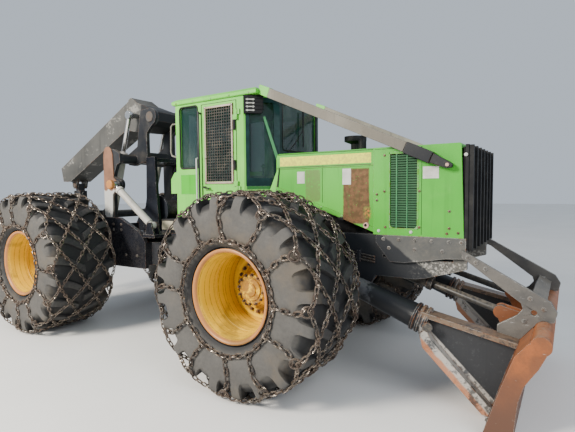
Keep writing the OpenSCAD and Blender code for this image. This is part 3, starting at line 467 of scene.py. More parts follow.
@dataclass(frozen=True)
class HoodPaint(Paint):
    """Paint of the hood: a pale band near the top, a rubbed patch and a rust patch low at its front."""

    band: Colour = (0.7, 0.7, 0.055)
    band_low: float = 2.268
    band_high: float = 2.372
    band_x: Pair = (-0.2, 0.93)
    rubbed: tuple[float, float, float, float] = (0.145, 0.335, 1.86, 2.215)
    rusted: tuple[float, float, float, float] = (0.615, 0.905, 1.63, 2.215)

    def dress(self) -> Material:
        """Builds the material.

        Returns:
            The material.
        """
        s = Shader(self.name)
        colour, worn, dirt = self.base(s)
        x = s.x - FRONT_X
        side = abs(s.y).ramp(0.55, 0.565)
        wobble = s.noise(7.0, 5.0, 0.65, shift=2.0)
        chips = s.noise(34.0, 4.0, 0.7)
        band = s.z.within(self.band_low, self.band_high) * x.within(*self.band_x) * side
        band = band * (wobble * 0.5 + chips * 0.5).ramp(0.7, 0.6)
        colour = s.mix(band, colour, s.mix(chips.ramp(0.4, 0.6), self.band, (0.52, 0.5, 0.07)))
        # Dark line just under the band: a gap, darkened further as painted shadow under a bead.
        line = s.z.within(self.band_low - 0.022, self.band_low - 0.012, 0.002)
        line = line * x.within(*self.band_x) * side
        colour = s.mix(line * 0.9, colour, (0.02, 0.05, 0.02))
        x0, x1, z0, z1 = self.rubbed
        right = s.y.ramp(-0.55, -0.57)
        patch = x.within(x0, x1, 0.004) * s.z.within(z0, z1, 0.004) * right * chips.ramp(0.3, 0.5)
        colour = s.mix(patch * 0.8, colour, (0.115, 0.175, 0.045))
        x0, x1, z0, z1 = self.rusted
        lower = (x - x0 + (wobble - 0.5) * 0.03).ramp(-0.006, 0.006)
        ragged = (wobble - 0.5) * 0.12 * s.z.ramp(2.0, 1.8)
        rust = lower * (x - ragged).ramp(x1 + 0.012, x1 - 0.004) * s.z.within(z0, z1, 0.012) * right
        rust = rust * (chips * 0.55 + s.noise(90.0, 3.0, shift=6.0) * 0.45).ramp(0.3, 0.42) * 0.96
        spot = x.within(0.855, 0.925, 0.02) * s.z.within(1.7, 1.8, 0.03) * right * chips.ramp(0.42, 0.55)
        colour = s.mix(spot, colour, (0.42, 0.12, 0.03))
        worn = worn.most(rust * (1.0 - spot))
        return self.close(s, colour, worn, dirt)

    def worn(self, s: Shader) -> Socket:
        """Returns the colour under the paint: brown primer and rust.

        Args:
            s: Shader of the material.

        Returns:
            The colour's socket.
        """
        patch = s.noise(17.0, 5.0, 0.6, shift=9.0)
        streak = s.noise(9.0, 5.0, 0.65, (3.0, 3.0, 0.5), 2.0)
        brown = s.mix(patch.ramp(0.4, 0.6), (0.15, 0.062, 0.034), (0.088, 0.036, 0.02))
        return s.mix(streak.ramp(0.54, 0.7) * 0.5, brown, (0.085, 0.105, 0.035))


@dataclass(frozen=True)
class Steel:
    """Steel without paint: rusted, scraped bright in patches."""

    name: str
    rust: Colour
    deep: Colour
    bright: Colour = (0.34, 0.33, 0.31)
    scraped: float = 0.3
    rough: float = 0.62
    streak: Place = (1.0, 1.0, 1.0)

    def dress(self) -> Material:
        """Builds the material."""
        return self.scrape(Shader(self.name), 0.0, self.deep)

    def scrape(self, s: Shader, share: Value, other: Colour) -> Material:
        """Builds the steel with a share of another colour in its rust.

        Args:
            s: Shader of the material.
            share: Share of the other colour.
            other: The other colour.

        Returns:
            The material.
        """
        cloud = s.noise(5.0, 6.0, 0.65)
        fine = s.noise(45.0, 5.0, 0.7)
        scratch = s.noise(9.0, 5.0, 0.7, self.streak, 4.0)
        edge = s.edges(0.01)
        colour = s.mix(cloud.ramp(0.35, 0.65), self.rust, self.deep)
        colour = s.mix(fine.ramp(0.5, 0.75) * 0.5, colour, tuple(c * 0.45 for c in self.rust))
        colour = s.mix(share, colour, other)
        bare = scratch + edge * 2.5 * self.scraped + (fine - 0.5) * 0.3
        bare = bare.ramp(0.78 - 0.4 * self.scraped, 0.86 - 0.36 * self.scraped)
        colour = s.mix(bare, colour, self.bright)
        dust = s.up().ramp(0.4, 1.0) * fine.ramp(0.3, 0.7) * 0.45
        colour = s.mix(dust, colour, DUST)
        rough = self.rough - bare * 0.22 + fine * 0.1
        height = fine * 0.6 + cloud * 0.6 - bare * 0.3
        return s.finish(Base_Color=colour, Roughness=rough, Metallic=0.15 + bare * 0.55,
                        Normal=s.bump(height, 0.0025, 0.6))


@dataclass(frozen=True)
class FramePaint(Paint):
    """Paint of the front frame: worn grey along the rails, near black behind them as painted shade."""

    dark: Colour = (0.008, 0.01, 0.014)

    def dress(self) -> Material:
        """Builds the material.

        Returns:
            The material.
        """
        s = Shader(self.name)
        colour, worn, dirt = self.base(s)
        wobble = s.noise(5.0, 5.0, 0.65, shift=4.0)
        fine = s.noise(40.0, 5.0, 0.7, shift=2.0)
        # Near black behind a slanting line: painted shade, with less wear and dirt there.
        behind = (s.x - FRONT_X - 1.1 - (1.5 - s.z) * 1.36 + (wobble - 0.5) * 0.1).ramp(0.02, -0.02)
        keel = (s.x - FRONT_X).ramp(1.3, 1.36) * s.z.ramp(1.3, 1.28)
        colour = s.mix(keel * fine.ramp(0.48, 0.6) * 0.7, colour, (0.42, 0.4, 0.36))
        colour = s.mix(behind * (0.94 - fine.ramp(0.6, 0.8) * 0.4), colour, self.dark)
        return self.close(s, colour, worn * (1.0 - behind * 0.6), dirt * (1.0 - behind * 0.8))


@dataclass(frozen=True)
class ArmPaint(Paint):
    """Paint of the push arms: black with a painted blue-grey sheen and painted shade, the lower flange
    ground bare and rusted.
    """

    dark: Colour = (0.007, 0.008, 0.01)
    scraped: Colour = (0.4, 0.375, 0.34)
    orange: Colour = (0.4, 0.15, 0.06)

    def dress(self) -> Material:
        """Builds the material.

        Returns:
            The material.
        """
        s = Shader(self.name)
        colour, worn, dirt = self.base(s)
        x = s.x - FRONT_X
        cloud = s.noise(4.5, 6.0, 0.65, shift=3.0)
        fine = s.noise(30.0, 5.0, 0.7, shift=6.0)
        stretched = s.noise(7.0, 6.0, 0.7, (1.0, 3.0, 1.0), 1.0)
        # Near black from about 1.05 to 1.5 m ahead of the front axle: painted shadow of the front wheel.
        painted_wheel_shadow = (x * 0.9 + cloud * 0.9 - 1.3).ramp(0.0, 0.1) * x.ramp(1.56, 1.5)
        colour = s.mix(painted_wheel_shadow * 0.92, colour, self.dark)
        along = (x - 1.54) * 0.72 - (s.z - 0.52) * 0.69
        level = (x - 1.525) * 0.69 + (s.z - 0.58) * 0.72
        flange = x.ramp(1.5, 1.54) * level.ramp(0.115, 0.1)
        colour = s.mix(flange * (stretched * 0.7 + fine * 0.4).ramp(0.44, 0.54), colour, self.scraped)
        stripe = flange * (level + (cloud - 0.5) * 0.06).ramp(0.03, 0.01) * (fine * 0.8).ramp(0.22, 0.36)
        colour = s.mix(stripe * 0.85, colour, self.orange)
        patches = flange * along.ramp(0.25, 0.4) * stretched.ramp(0.52, 0.6)
        colour = s.mix(patches * 0.8, colour, (0.025, 0.025, 0.026))
        web = x.ramp(1.52, 1.55) * level.ramp(0.1, 0.115)
        colour = s.mix(web * (0.85 - fine.ramp(0.55, 0.75) * 0.3), colour, (0.014, 0.015, 0.018))
        upper = x.ramp(1.5, 1.54) * (s.z - 0.855 + (x - 1.5) * 0.197).ramp(-0.052, -0.046)
        upper = upper * (fine * 0.6 + stretched * 0.5).ramp(0.42, 0.6) * 0.8
        colour = s.mix(upper, colour, (0.19, 0.125, 0.08))
        return self.close(s, colour, worn, dirt)


@dataclass(frozen=True)
class FadingRust(Steel):
    """Rusted steel that turns to another colour below a height."""

    low: float = 2.02
    spread: float = 0.01
    below: Colour = (0.5, 0.49, 0.46)

    def dress(self) -> Material:
        """Builds the material.

        Returns:
            The material.
        """
        s = Shader(self.name)
        height = s.z + (s.noise(14.0, 5.0, 0.7, (1.0, 1.0, 0.25)) - 0.5) * 0.16
        return self.scrape(s, height.ramp(self.low + self.spread, self.low - self.spread), self.below)


@dataclass(frozen=True)
class BoomPaint(Paint):
    """Paint of the boom: grey with pale scrapes, black at its root."""

    def dress(self) -> Material:
        """Builds the material.

        Returns:
            The material.
        """
        s = Shader(self.name)
        colour, worn, dirt = self.base(s)
        cloud = s.noise(3.0, 6.0, 0.7, (1.0, 1.0, 1.6), 2.0)
        fine = s.noise(26.0, 5.0, 0.7, shift=5.0)
        pale = (cloud + (fine - 0.5) * 0.45).ramp(0.58, 0.64)
        colour = s.mix(pale * 0.55, colour, (0.33, 0.32, 0.29))
        root = (s.x - REAR_X).ramp(0.7, 0.74)
        colour = s.mix(root * 0.94, colour, (0.008, 0.009, 0.011))
        return self.close(s, colour, worn * (1.0 - root * 0.6), dirt * (1.0 - root * 0.8))


@dataclass(frozen=True)
class Rod:
    """Hard chrome with a thin film of oil and dust."""

    name: str = "rod_chrome"

    def dress(self) -> Material:
        """Builds the material.

        Returns:
            The material.
        """
        s = Shader(self.name)
        film = s.noise(14.0, 5.0, 0.6)
        marks = s.noise(60.0, 4.0, 0.7)
        colour = s.mix(film.ramp(0.5, 0.75) * 0.35, (0.62, 0.62, 0.62), (0.33, 0.3, 0.25))
        rough = 0.16 + film.ramp(0.45, 0.8) * 0.22 + marks * 0.06
        return s.finish(Base_Color=colour, Roughness=rough, Metallic=0.95, Normal=s.bump(marks, 0.0004, 0.3))


@dataclass(frozen=True)
class Rubber:
    """Tyre rubber: dry dust on walls and lugs, grooves dark with dirt and painted shade, fine rings near the
    bead.
    """

    name: str = "tyre_rubber"
    dark: Colour = (0.01, 0.01, 0.011)
    dusty: Colour = (0.088, 0.083, 0.076)
    clay: Colour = (0.12, 0.092, 0.06)

    def dress(self) -> Material:
        """Builds the material.

        Returns:
            The material.
        """
        s = Shader(self.name)
        radius, across = wheel_places(s)
        cloud = s.noise(4.0, 6.0, 0.65)
        fine = s.noise(30.0, 6.0, 0.7)
        scuffs = s.noise(11.0, 5.0, 0.7, (1.0, 2.5, 1.0), 5.0)
        wall = across.ramp(0.4, 0.44)
        tread = radius.ramp(0.925, 0.955)
        # The grooves lose most of their dust and stay dark: dirt, with painted shade in the recesses.
        groove = (1.0 - wall) * (1.0 - tread)
        dust = wall * 0.72 + tread * 0.2 + (fine - 0.5) * 0.9 + (cloud - 0.5) * 0.8
        dust = (dust + s.z.ramp(0.9, 0.1) * 0.1) * (1.0 - groove * 0.85)
        colour = s.mix(dust.most(0.0).least(1.0), self.dark, self.dusty)
        clay = s.noise(2.2, 5.0, 0.6, shift=7.0).ramp(0.5, 0.7) * across.ramp(0.2, 0.45) * 0.45
        clay = clay + scuffs.ramp(0.6, 0.72) * 0.35 * wall
        colour = s.mix(clay.least(0.8), colour, self.clay)
        rings = (radius * 620.0).sine() * radius.within(0.5, 0.585, 0.004) * 0.3
        height = rings + fine * 0.5 + cloud * 0.5
        return s.finish(Base_Color=colour, Roughness=0.66 + fine * 0.22, Metallic=0.0,
                        Normal=s.bump(height, 0.003, 0.7))


@dataclass(frozen=True)
class RimPaint(Paint):
    """Yellow paint of the rims: the flange rubbed to rust by the chain, painted shade and dirt deep in the
    dish.
    """

    flange: Colour = (0.42, 0.165, 0.065)

    def dress(self) -> Material:
        """Builds the material.

        Returns:
            The material.
        """
        s = Shader(self.name)
        colour, worn, dirt = self.base(s)
        radius, across = wheel_places(s)
        patch = s.noise(9.0, 5.0, 0.65, shift=4.0)
        fine = s.noise(40.0, 5.0, 0.7, shift=1.0)
        flange = radius.ramp(0.409, 0.417) * (patch * 0.6 + fine * 0.5).ramp(0.36, 0.46)
        colour = s.mix(flange * 0.92, colour, self.flange)
        # Dark brown-green patches deep in the dish, near the flange: painted shadow of the flange, with some
        # dirt.
        shade_and_grime = s.noise(2.4, 6.0, 0.65, shift=8.0).ramp(0.5, 0.66) * radius.ramp(0.3, 0.38) * 0.55
        colour = s.mix(shade_and_grime, colour, (0.13, 0.085, 0.022))
        hub = radius.ramp(0.31, 0.27) * (patch * 0.7 + fine * 0.4).ramp(0.44, 0.58) * 0.85
        colour = s.mix(hub, colour, (0.215, 0.085, 0.018))
        lines = (across * 90.0).sine().ramp(0.8, 0.97) * radius.ramp(0.37, 0.385)
        lines = lines * fine.ramp(0.3, 0.6) * 0.6
        colour = s.mix(lines, colour, (0.2, 0.095, 0.006))
        return self.close(s, colour, worn, dirt)


@dataclass(frozen=True)
class Glass:
    """Tinted cab glass under a film of dust."""

    name: str = "cab_glass_tinted"

    def dress(self) -> Material:
        """Builds the material.

        Returns:
            The material.
        """
        s = Shader(self.name)
        smear = s.noise(3.0, 6.0, 0.6, (1.0, 1.0, 0.6))
        fine = s.noise(50.0, 4.0, 0.6)
        dust = smear.ramp(0.42, 0.78) * 0.5 + fine.ramp(0.5, 0.8) * 0.12
        colour = s.mix(dust, (0.006, 0.032, 0.03), (0.13, 0.17, 0.14))
        return s.finish(Base_Color=colour, Roughness=0.05 + dust * 0.25, Alpha=0.52 + dust * 0.35,
                        Normal=s.bump(smear, 0.001, 0.2), Coat_Weight=0.3)


@dataclass(frozen=True)
class Plain:
    """Plastic, rubber trim, cloth or a blank plate, with mottling, dust and a fine grain."""

    name: str
    colour: Colour
    other: Colour
    rough: float = 0.55
    grain: float = 90.0
    depth: float = 0.0012
    dust: float = 0.3

    def dress(self) -> Material:
        """Builds the material.

        Returns:
            The material.
        """
        s = Shader(self.name)
        cloud = s.noise(8.0, 5.0, 0.6)
        fine = s.noise(self.grain, 4.0, 0.6)
        colour = s.mix(cloud.ramp(0.35, 0.7), self.colour, self.other)
        dust = (s.up().ramp(0.2, 1.0) * 0.7 + cloud.ramp(0.5, 0.8) * 0.4) * fine.ramp(0.3, 0.65) * self.dust
        colour = s.mix(dust, colour, DUST)
        return s.finish(Base_Color=colour, Roughness=self.rough + fine * 0.15 + dust * 0.2,
                        Specular_IOR_Level=0.22, Normal=s.bump(fine * 0.6 + cloud * 0.4, self.depth, 0.6))


@dataclass
class Finishes:
    """Every material of the machine, made once."""

    made: dict[str, Material] = field(default_factory=dict)

    def build(self) -> None:
        """Builds the materials from their finishes."""
        kinds = {
            "green": Paint("green_paint", (0.052, 0.34, 0.022), (0.09, 0.43, 0.04), 0.36, 0.3, 0.12, 0.5),
            "cab_green": Paint("cab_green_paint", (0.105, 0.45, 0.045), (0.17, 0.55, 0.08),
                               0.36, 0.3, 0.11, 0.4, 5.0),
            "hood": HoodPaint("hood_paint", (0.052, 0.34, 0.022), (0.09, 0.43, 0.04), 0.36, 0.3, 0.12, 0.7),
            "grey": FramePaint("frame_grey_paint", (0.06, 0.062, 0.061), (0.125, 0.124, 0.116),
                               0.5, 0.75, 0.45, 0.35),
            "black": Paint("frame_black_paint", (0.008, 0.009, 0.012), (0.026, 0.028, 0.032),
                           0.3, 0.4, 0.38, 0.5),
            "oily": Paint("oily_black_paint", (0.005, 0.006, 0.01), (0.02, 0.023, 0.031),
                          0.22, 0.4, 0.12, 0.5),
            "boom": BoomPaint("boom_grey_paint", (0.034, 0.035, 0.034), (0.082, 0.081, 0.076),
                              0.5, 0.75, 0.2, 0.6, 2.0),
            "silver": Paint("silver_barrel_paint", (0.42, 0.4, 0.36), (0.56, 0.53, 0.48),
                            0.4, 0.4, 0.2, 0.3),
            "yellow": RimPaint("rim_yellow_paint", (0.72, 0.41, 0.006), (0.8, 0.5, 0.015),
                               0.34, 0.3, 0.15, 0.9),
            "riser": Paint("riser_grey_paint", (0.135, 0.122, 0.098), (0.245, 0.228, 0.19),
                           0.6, 0.75, 0.25, 0.25),
            "blade": FadingRust("blade_rust_steel", (0.33, 0.095, 0.022), (0.185, 0.062, 0.022),
                                (0.36, 0.3, 0.25), 0.3, 0.5, (1.0, 0.3, 6.0), 0.46, 0.3,
                                (0.105, 0.046, 0.026)),
            "tan": FadingRust("guard_tan_rust", (0.25, 0.12, 0.068), (0.165, 0.082, 0.05),
                              (0.42, 0.39, 0.35), 0.16, 0.7),
            "plate": Steel("guard_plate_steel", (0.115, 0.105, 0.092), (0.07, 0.066, 0.062),
                           (0.4, 0.39, 0.37), 0.4, 0.5, (0.5, 1.0, 3.0)),
            # Blue-grey tint of the arms' black: painted sheen.
            "arm": ArmPaint("arm_blue_black_paint", (0.03, 0.034, 0.042), (0.082, 0.087, 0.096),
                            0.34, 0.7, 0.16, 0.6),
            # Bright patches at the chain's edges and scratches: worn steel, partly a painted highlight.
            "chain": Steel("tyre_chain_steel", (0.058, 0.033, 0.021), (0.02, 0.016, 0.014),
                           (0.46, 0.38, 0.3), 0.3, 0.42),
            "chrome": Rod(),
            "rubber": Rubber(),
            "glass": Glass(),
            "guard": Paint("guard_cream_paint", (0.3, 0.25, 0.19), (0.44, 0.39, 0.32), 0.5, 0.8, 0.25, 0.8),
            "vent": Paint("vent_green_paint", (0.018, 0.075, 0.03), (0.04, 0.12, 0.052),
                          0.55, 0.02, 0.1, 0.0),
            "panel": Paint("panel_green_paint", (0.04, 0.37, 0.01), (0.06, 0.42, 0.02), 0.34, 0.2, 0.1, 0.4),
            "sill": Paint("sill_green_paint", (0.018, 0.13, 0.022), (0.03, 0.17, 0.035),
                          0.4, 0.2, 0.15, 0.4),
            "pillar": Paint("pillar_green_paint", (0.03, 0.17, 0.06), (0.05, 0.22, 0.085),
                            0.4, 0.2, 0.1, 0.4),
            # Dark glossy sheet over the cab's posts: painted shade.
            "dark_pane": Plain("dark_pane", (0.005, 0.02, 0.02), (0.01, 0.034, 0.034),
                               0.14, 60.0, 0.0004, 0.06),
            "vent_back": Plain("vent_back", (0.01, 0.026, 0.016), (0.022, 0.045, 0.03), 0.8, 40.0),
            "chrome_worn": Paint("worn_silver_paint", (0.4, 0.4, 0.39), (0.52, 0.52, 0.5),
                                 0.35, 0.5, 0.3, 0.4),
            "pink_eye": Paint("worn_primer", (0.5, 0.3, 0.24), (0.6, 0.4, 0.32), 0.6, 0.6, 0.2, 0.6),
            "plastic": Plain("black_plastic", (0.005, 0.005, 0.006), (0.014, 0.014, 0.014),
                             0.5, 90.0, 0.0012, 0.14),
            "gasket": Plain("gasket_rubber", (0.01, 0.01, 0.01), (0.022, 0.022, 0.021), 0.6, 140.0),
            "cloth": Plain("seat_cloth", (0.018, 0.018, 0.02), (0.034, 0.034, 0.036), 0.85, 420.0, 0.002),
            "mesh": Plain("mesh_paint", (0.016, 0.016, 0.015), (0.062, 0.05, 0.04), 0.5, 200.0),
            "blank": Plain("blank_plate", (0.58, 0.58, 0.54), (0.44, 0.44, 0.4), 0.45, 60.0, 0.0006, 0.35),
            "cream": Plain("cream_plate", (0.46, 0.42, 0.3), (0.36, 0.33, 0.24), 0.5, 60.0, 0.0006, 0.4),
            "rusty_bolt": Steel("rusty_bolt_steel", (0.11, 0.045, 0.018), (0.045, 0.024, 0.014),
                                (0.3, 0.24, 0.18), 0.2, 0.6),
            "bolt": Steel("bolt_steel", (0.06, 0.058, 0.054), (0.1, 0.062, 0.04), (0.34, 0.33, 0.31),
                          0.35, 0.5),
            "slot_dark": Plain("dark_core", (0.006, 0.006, 0.006), (0.014, 0.013, 0.012), 0.8, 40.0),
        }
        for key, kind in kinds.items():
            self.made[key] = kind.dress()
            log.info("finish %s", kind.name)

    def __getitem__(self, key: str) -> Material:
        """Returns a material by its short name."""
        return self.made[key]


FINISH = Finishes()


# Meshes


# Radius of the small hole left on the axis of a turned part, so that no face shrinks to a point
AXIS = 0.001
BOLT_AXIS = 0.0005


class Shape:
    """Points and faces of one piece, in metres."""

    def __init__(self) -> None:
        """Starts empty."""
        self.points: list[Vector] = []
        self.faces: list[tuple[int, ...]] = []

    def add(self, points: Iterable[Sequence[float]], faces: Iterable[Sequence[int]]) -> "Shape":
        """Adds points and the faces between them.

        Args:
            points: Places of the points.
            faces: Numbers within these points.

        Returns:
            The shape.
        """
        start = len(self.points)
        self.points.extend(Vector(p) for p in points)
        self.faces.extend(tuple(start + i for i in f) for f in faces)
        return self

    def box(self, low: Sequence[float], high: Sequence[float]) -> "Shape":
        """Adds a box.

        Args:
            low: One corner.
            high: The opposite corner.

        Returns:
            The shape.
        """
        points = [(x, y, z) for x in (low[0], high[0]) for y in (low[1], high[1]) for z in (low[2], high[2])]
        faces = [(0, 1, 3, 2), (4, 6, 7, 5), (0, 4, 5, 1), (2, 3, 7, 6), (0, 2, 6, 4), (1, 5, 7, 3)]
        return self.add(points, faces)

    def slab(self, outline: Sequence[Pair], way: Way, start: float, end: float) -> "Shape":
        """Adds an outline stretched along an axis.

        Args:
            outline: Pairs in the plane of the two other axes, in their order.
            way: Axis of the stretch.
            start: Where it starts.
            end: Where it ends.

        Returns:
            The shape.
        """
        points = []
        for level in (start, end):
            for pair in outline:
                point = list(pair)
                point.insert(way.value, level)
                points.append(point)
        return self.prism(points)

    def prism(self, points: Sequence[Sequence[float]]) -> "Shape":
        """Adds a prism from the points of one end and then those of the other.

        Args:
            points: The points, in the same order at both ends.

        Returns:
            The shape.
        """
        count = len(points) // 2
        faces = [tuple(range(count)), tuple(range(2 * count - 1, count - 1, -1))]
        faces += [(i, (i + 1) % count, count + (i + 1) % count, count + i) for i in range(count)]
        return self.add(points, faces)

    def tube(self, path: Sequence[Sequence[float]], radius: float, sides: int = 10,
             closed: bool = False) -> "Shape":
        """Adds a round bar along a path.

        Args:
            path: Points of its middle line.
            radius: Its radius.
            sides: Faces round it.
            closed: Joins its ends.

        Returns:
            The shape.
        """
        line = [Vector(p) for p in path]
        count = len(line)
        points: list[Vector] = []
        normal: Optional[Vector] = None
        for i, here in enumerate(line):
            before = line[i - 1] if (i or closed) else here
            after = line[(i + 1) % count] if (i + 1 < count or closed) else here
            along = (after - before).normalized()
            if normal is None:
                normal = along.orthogonal().normalized()
            normal = (normal - along * normal.dot(along)).normalized()
            other = along.cross(normal)
            for k in range(sides):
                turn = 2 * math.pi * k / sides
                points.append(here + radius * (math.cos(turn) * normal + math.sin(turn) * other))
        last = count if closed else count - 1
        faces = []
        for i in range(last):
            j = (i + 1) % count
            for k in range(sides):
                n = (k + 1) % sides
                faces.append((i * sides + k, i * sides + n, j * sides + n, j * sides + k))
        if not closed:
            faces.append(tuple(range(sides - 1, -1, -1)))
            faces.append(tuple((count - 1) * sides + k for k in range(sides)))
        return self.add(points, faces)

    def cap(self, centre: Sequence[float], outward: Sequence[float], radius: float,
            height: float) -> "Shape":
        """Adds a pin's round end cap with a chamfer.

        Args:
            centre: Middle of its foot.
            outward: Direction it faces.
            radius: Its radius.
            height: How far it stands out.

        Returns:
            The shape.
        """
        chamfer = (radius * 0.88, height)
        return self.spin([(AXIS, 0.0), (radius, 0.0), (radius, height * 0.6), chamfer, (AXIS, height)],
                         centre, outward, 24)

    def bars(self, x: Pair, y: Pair, z: Pair, left: float, right: float, bottom: float,
             top: float) -> "Shape":
        """Adds the four bars of an upright frame near the front axle.

        Args:
            x: Its ends.
            y: Its faces.
            z: Its foot and its head.
            left: Width of the bar at the first end.
            right: Width of the bar at the other end.
            bottom: Height of the bar at the foot.
            top: Height of the bar at the head.

        Returns:
            The shape.
        """
        for x0, z0, x1, z1 in ((x[0], z[0], x[0] + left, z[1]), (x[1] - right, z[0], x[1], z[1]),
                               (x[0], z[0], x[1], z[0] + bottom), (x[0], z[1] - top, x[1], z[1])):
            self.box(front(x0, y[0], z0), front(x1, y[1], z1))
        return self

    def spin(self, outline: Sequence[Pair], centre: Sequence[float], axis: Sequence[float],
             turns: int = 64) -> "Shape":
        """Adds an outline turned round an axis.

        Args:
            outline: Pairs of radius and distance along the axis.
            centre: Where the distance is 0.
            axis: Direction of the axis.
            turns: Faces round it.

        Returns:
            The shape.
        """
        along = Vector(axis).normalized()
        first = along.orthogonal().normalized()
        second = along.cross(first)
        count = len(outline)
        points = []
        for k in range(turns):
            turn = 2 * math.pi * k / turns
            out = math.cos(turn) * first + math.sin(turn) * second
            points.extend(Vector(centre) + out * r + along * h for r, h in outline)
        faces = []
        for k in range(turns):
            n = (k + 1) % turns
            faces += [(k * count + i, n * count + i, n * count + i + 1, k * count + i + 1)
                      for i in range(count - 1)]
        return self.add(points, faces)

    def mirrored(self) -> "Shape":
        """Adds a copy of everything on the other side of the middle plane."""
        points = [(p.x, -p.y, p.z) for p in self.points]
        return self.add(points, [tuple(reversed(f)) for f in list(self.faces)])

    def mesh(self, name: str, smooth: float = 35.0) -> Mesh:
        """Makes a mesh whose faces point outwards.

        Args:
            name: Its name.
            smooth: Edges sharper than this many degrees stay sharp.

        Returns:
            The mesh.
        """
        mesh = bpy.data.meshes.new(name)
        mesh.from_pydata([tuple(p) for p in self.points], [], self.faces)
        work = bmesh.new()
        work.from_mesh(mesh)
        bmesh.ops.remove_doubles(work, verts=work.verts, dist=0.00002)
        bmesh.ops.recalc_face_normals(work, faces=work.faces)
        work.to_mesh(mesh)
        work.free()
        return smoothed(mesh, smooth)

    def piece(self, name: str, finish: str, slot: str, bevel: float = 0.0, body: str = FRONT,
              instead: str = "") -> bpy.types.Object:
        """Makes the piece and puts it on its body.

        Args:
            name: Its name.
            finish: Short name of its material.
            slot: Slot of the material.
            bevel: Width of its softened edges.
            body: Body that it rides on.
            instead: CAD node that it stands for.

        Returns:
            The object.
        """
        return place(self.mesh(name), name, finish, slot, body, instead, bevel)


def smoothed(mesh: Mesh, angle: float = 40.0) -> Mesh:
    """Shades a mesh smooth.

    Args:
        mesh: The mesh.
        angle: Edges sharper than this many degrees stay sharp.

    Returns:
        The same mesh.
    """
    mesh.polygons.foreach_set("use_smooth", [True] * len(mesh.polygons))
    mesh.set_sharp_from_angle(angle=math.radians(angle))
    return mesh


def soften(thing: bpy.types.Object, width: float) -> None:
    """Rounds the hard edges of a piece.

    Args:
        thing: The piece.
        width: Width of the rounding.
    """
    bevel = thing.modifiers.new("soft_edges", "BEVEL")
    bevel.width = width
    bevel.segments = 2
    bevel.limit_method = "ANGLE"
    bevel.angle_limit = math.radians(40)
    bevel.harden_normals = True


def place(mesh: Mesh, name: str, finish: str, slot: str, body: str = FRONT, instead: str = "",
          bevel: float = 0.0) -> bpy.types.Object:
    """Makes an object of a mesh and puts it on a body.

    Args:
        mesh: Mesh in its place.
        name: Name of the piece.
        finish: Short name of its material.
        slot: Name of a material slot, or nothing for small fasteners; not used.
        body: Body that it rides on.
        instead: CAD node that it stands for.
        bevel: Width of its softened edges.

    Returns:
        The object.
    """
    made = bpy.data.objects.new(name, mesh)
    bpy.context.scene.collection.objects.link(made)
    mesh.materials.clear()
    mesh.materials.append(FINISH[finish])
    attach(made, body)
    if bevel:
        soften(made, bevel)
    if instead:
        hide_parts(instead)
    log.info("piece %s on %s, %d faces", name, body, len(mesh.polygons))
    return made


def joined(name: str, parts: Sequence[Mesh]) -> Mesh:
    """Joins meshes into one.

    Args:
        name: Name of the new mesh.
        parts: The meshes.

    Returns:
        The mesh.
    """
    work = bmesh.new()
    for part in parts:
        work.from_mesh(part)
    mesh = bpy.data.meshes.new(name)
    work.to_mesh(mesh)
    work.free()
    return mesh


# Repeats by geometry nodes


class Grower(Tree):
    """A geometry tree that copies one small part many times."""

    def __init__(self, name: str, sizes: dict[str, str]) -> None:
        """Starts a tree with named inputs.

        Args:
            name: Name of the tree.
            sizes: Socket type of each input by its name.
        """
        super().__init__(bpy.data.node_groups.new(name, "GeometryNodeTree"))
        face = self.tree.interface
        kinds = {"Geometry": "NodeSocketGeometry", **sizes, "Part": "NodeSocketObject",
                 "Finish": "NodeSocketMaterial"}
        self.sockets = {label: face.new_socket(label, in_out="INPUT", socket_type=kind)
                        for label, kind in kinds.items()}
        face.new_socket("Result", in_out="OUTPUT", socket_type="NodeSocketGeometry")
        self.inputs = self.node("NodeGroupInput").outputs

    def close(self, points: Socket, rotation: Union[Socket, Place]) -> None:
        """Puts the part on the points and ends the tree.

        Args:
            points: Where the copies go.
            rotation: How each one is turned.
        """
        part = self.node("GeometryNodeObjectInfo", None, {"Object": self.inputs["Part"]})
        copies = self.node("GeometryNodeInstanceOnPoints", None,
                           {"Points": points, "Instance": part.outputs["Geometry"], "Rotation": rotation})
        real = self.node("GeometryNodeRealizeInstances", None, {0: copies.outputs[0]})
        done = self.node("GeometryNodeSetMaterial", None,
                         {"Geometry": real.outputs[0], "Material": self.inputs["Finish"]})
        self.node("NodeGroupOutput", None, {0: done.outputs[0]})

    def about(self, axis: Place, angle: Socket) -> Socket:
        """Returns a rotation about an axis."""
        made = self.node("FunctionNodeAxisAngleToRotation", None, {"Axis": axis, "Angle": angle})
        return made.outputs[0]

    def math(self, operation: str, *values: object) -> Socket:
        """Returns the result of one Math node."""
        return self.node("ShaderNodeMath", {"operation": operation}, dict(enumerate(values))).outputs[0]

    def grow(self, name: str, part: Shape, finish: str, host: Optional[Mesh] = None,
             smooth: float = 40.0, **sizes: object) -> Mesh:
        """Runs the tree and returns a plain mesh.

        Args:
            name: Name of the mesh.
            part: Small part to copy.
            finish: Short name of its material.
            host: Mesh of points or lines that the copies follow.
            smooth: Edges sharper than this many degrees stay sharp.
            **sizes: Values of the named inputs, with _ for a space.

        Returns:
            The mesh.
        """
        seed = bpy.data.objects.new(name + "_part", part.mesh(name + "_part", smooth))
        carrier = bpy.data.objects.new(name, host or bpy.data.meshes.new(name))
        for thing in (seed, carrier):
            bpy.context.scene.collection.objects.link(thing)
        run = carrier.modifiers.new("grow", "NODES")
        run.node_group = self.tree
        values = {label.replace("_", " "): value for label, value in sizes.items()}
        for label, value in {**values, "Part": seed, "Finish": FINISH[finish]}.items():
            run[self.sockets[label].identifier] = value
        graph = bpy.context.evaluated_depsgraph_get()
        mesh = bpy.data.meshes.new_from_object(carrier.evaluated_get(graph))
        carrier.modifiers.remove(run)
        for thing in (carrier, seed):
            bpy.data.objects.remove(thing)
        return mesh


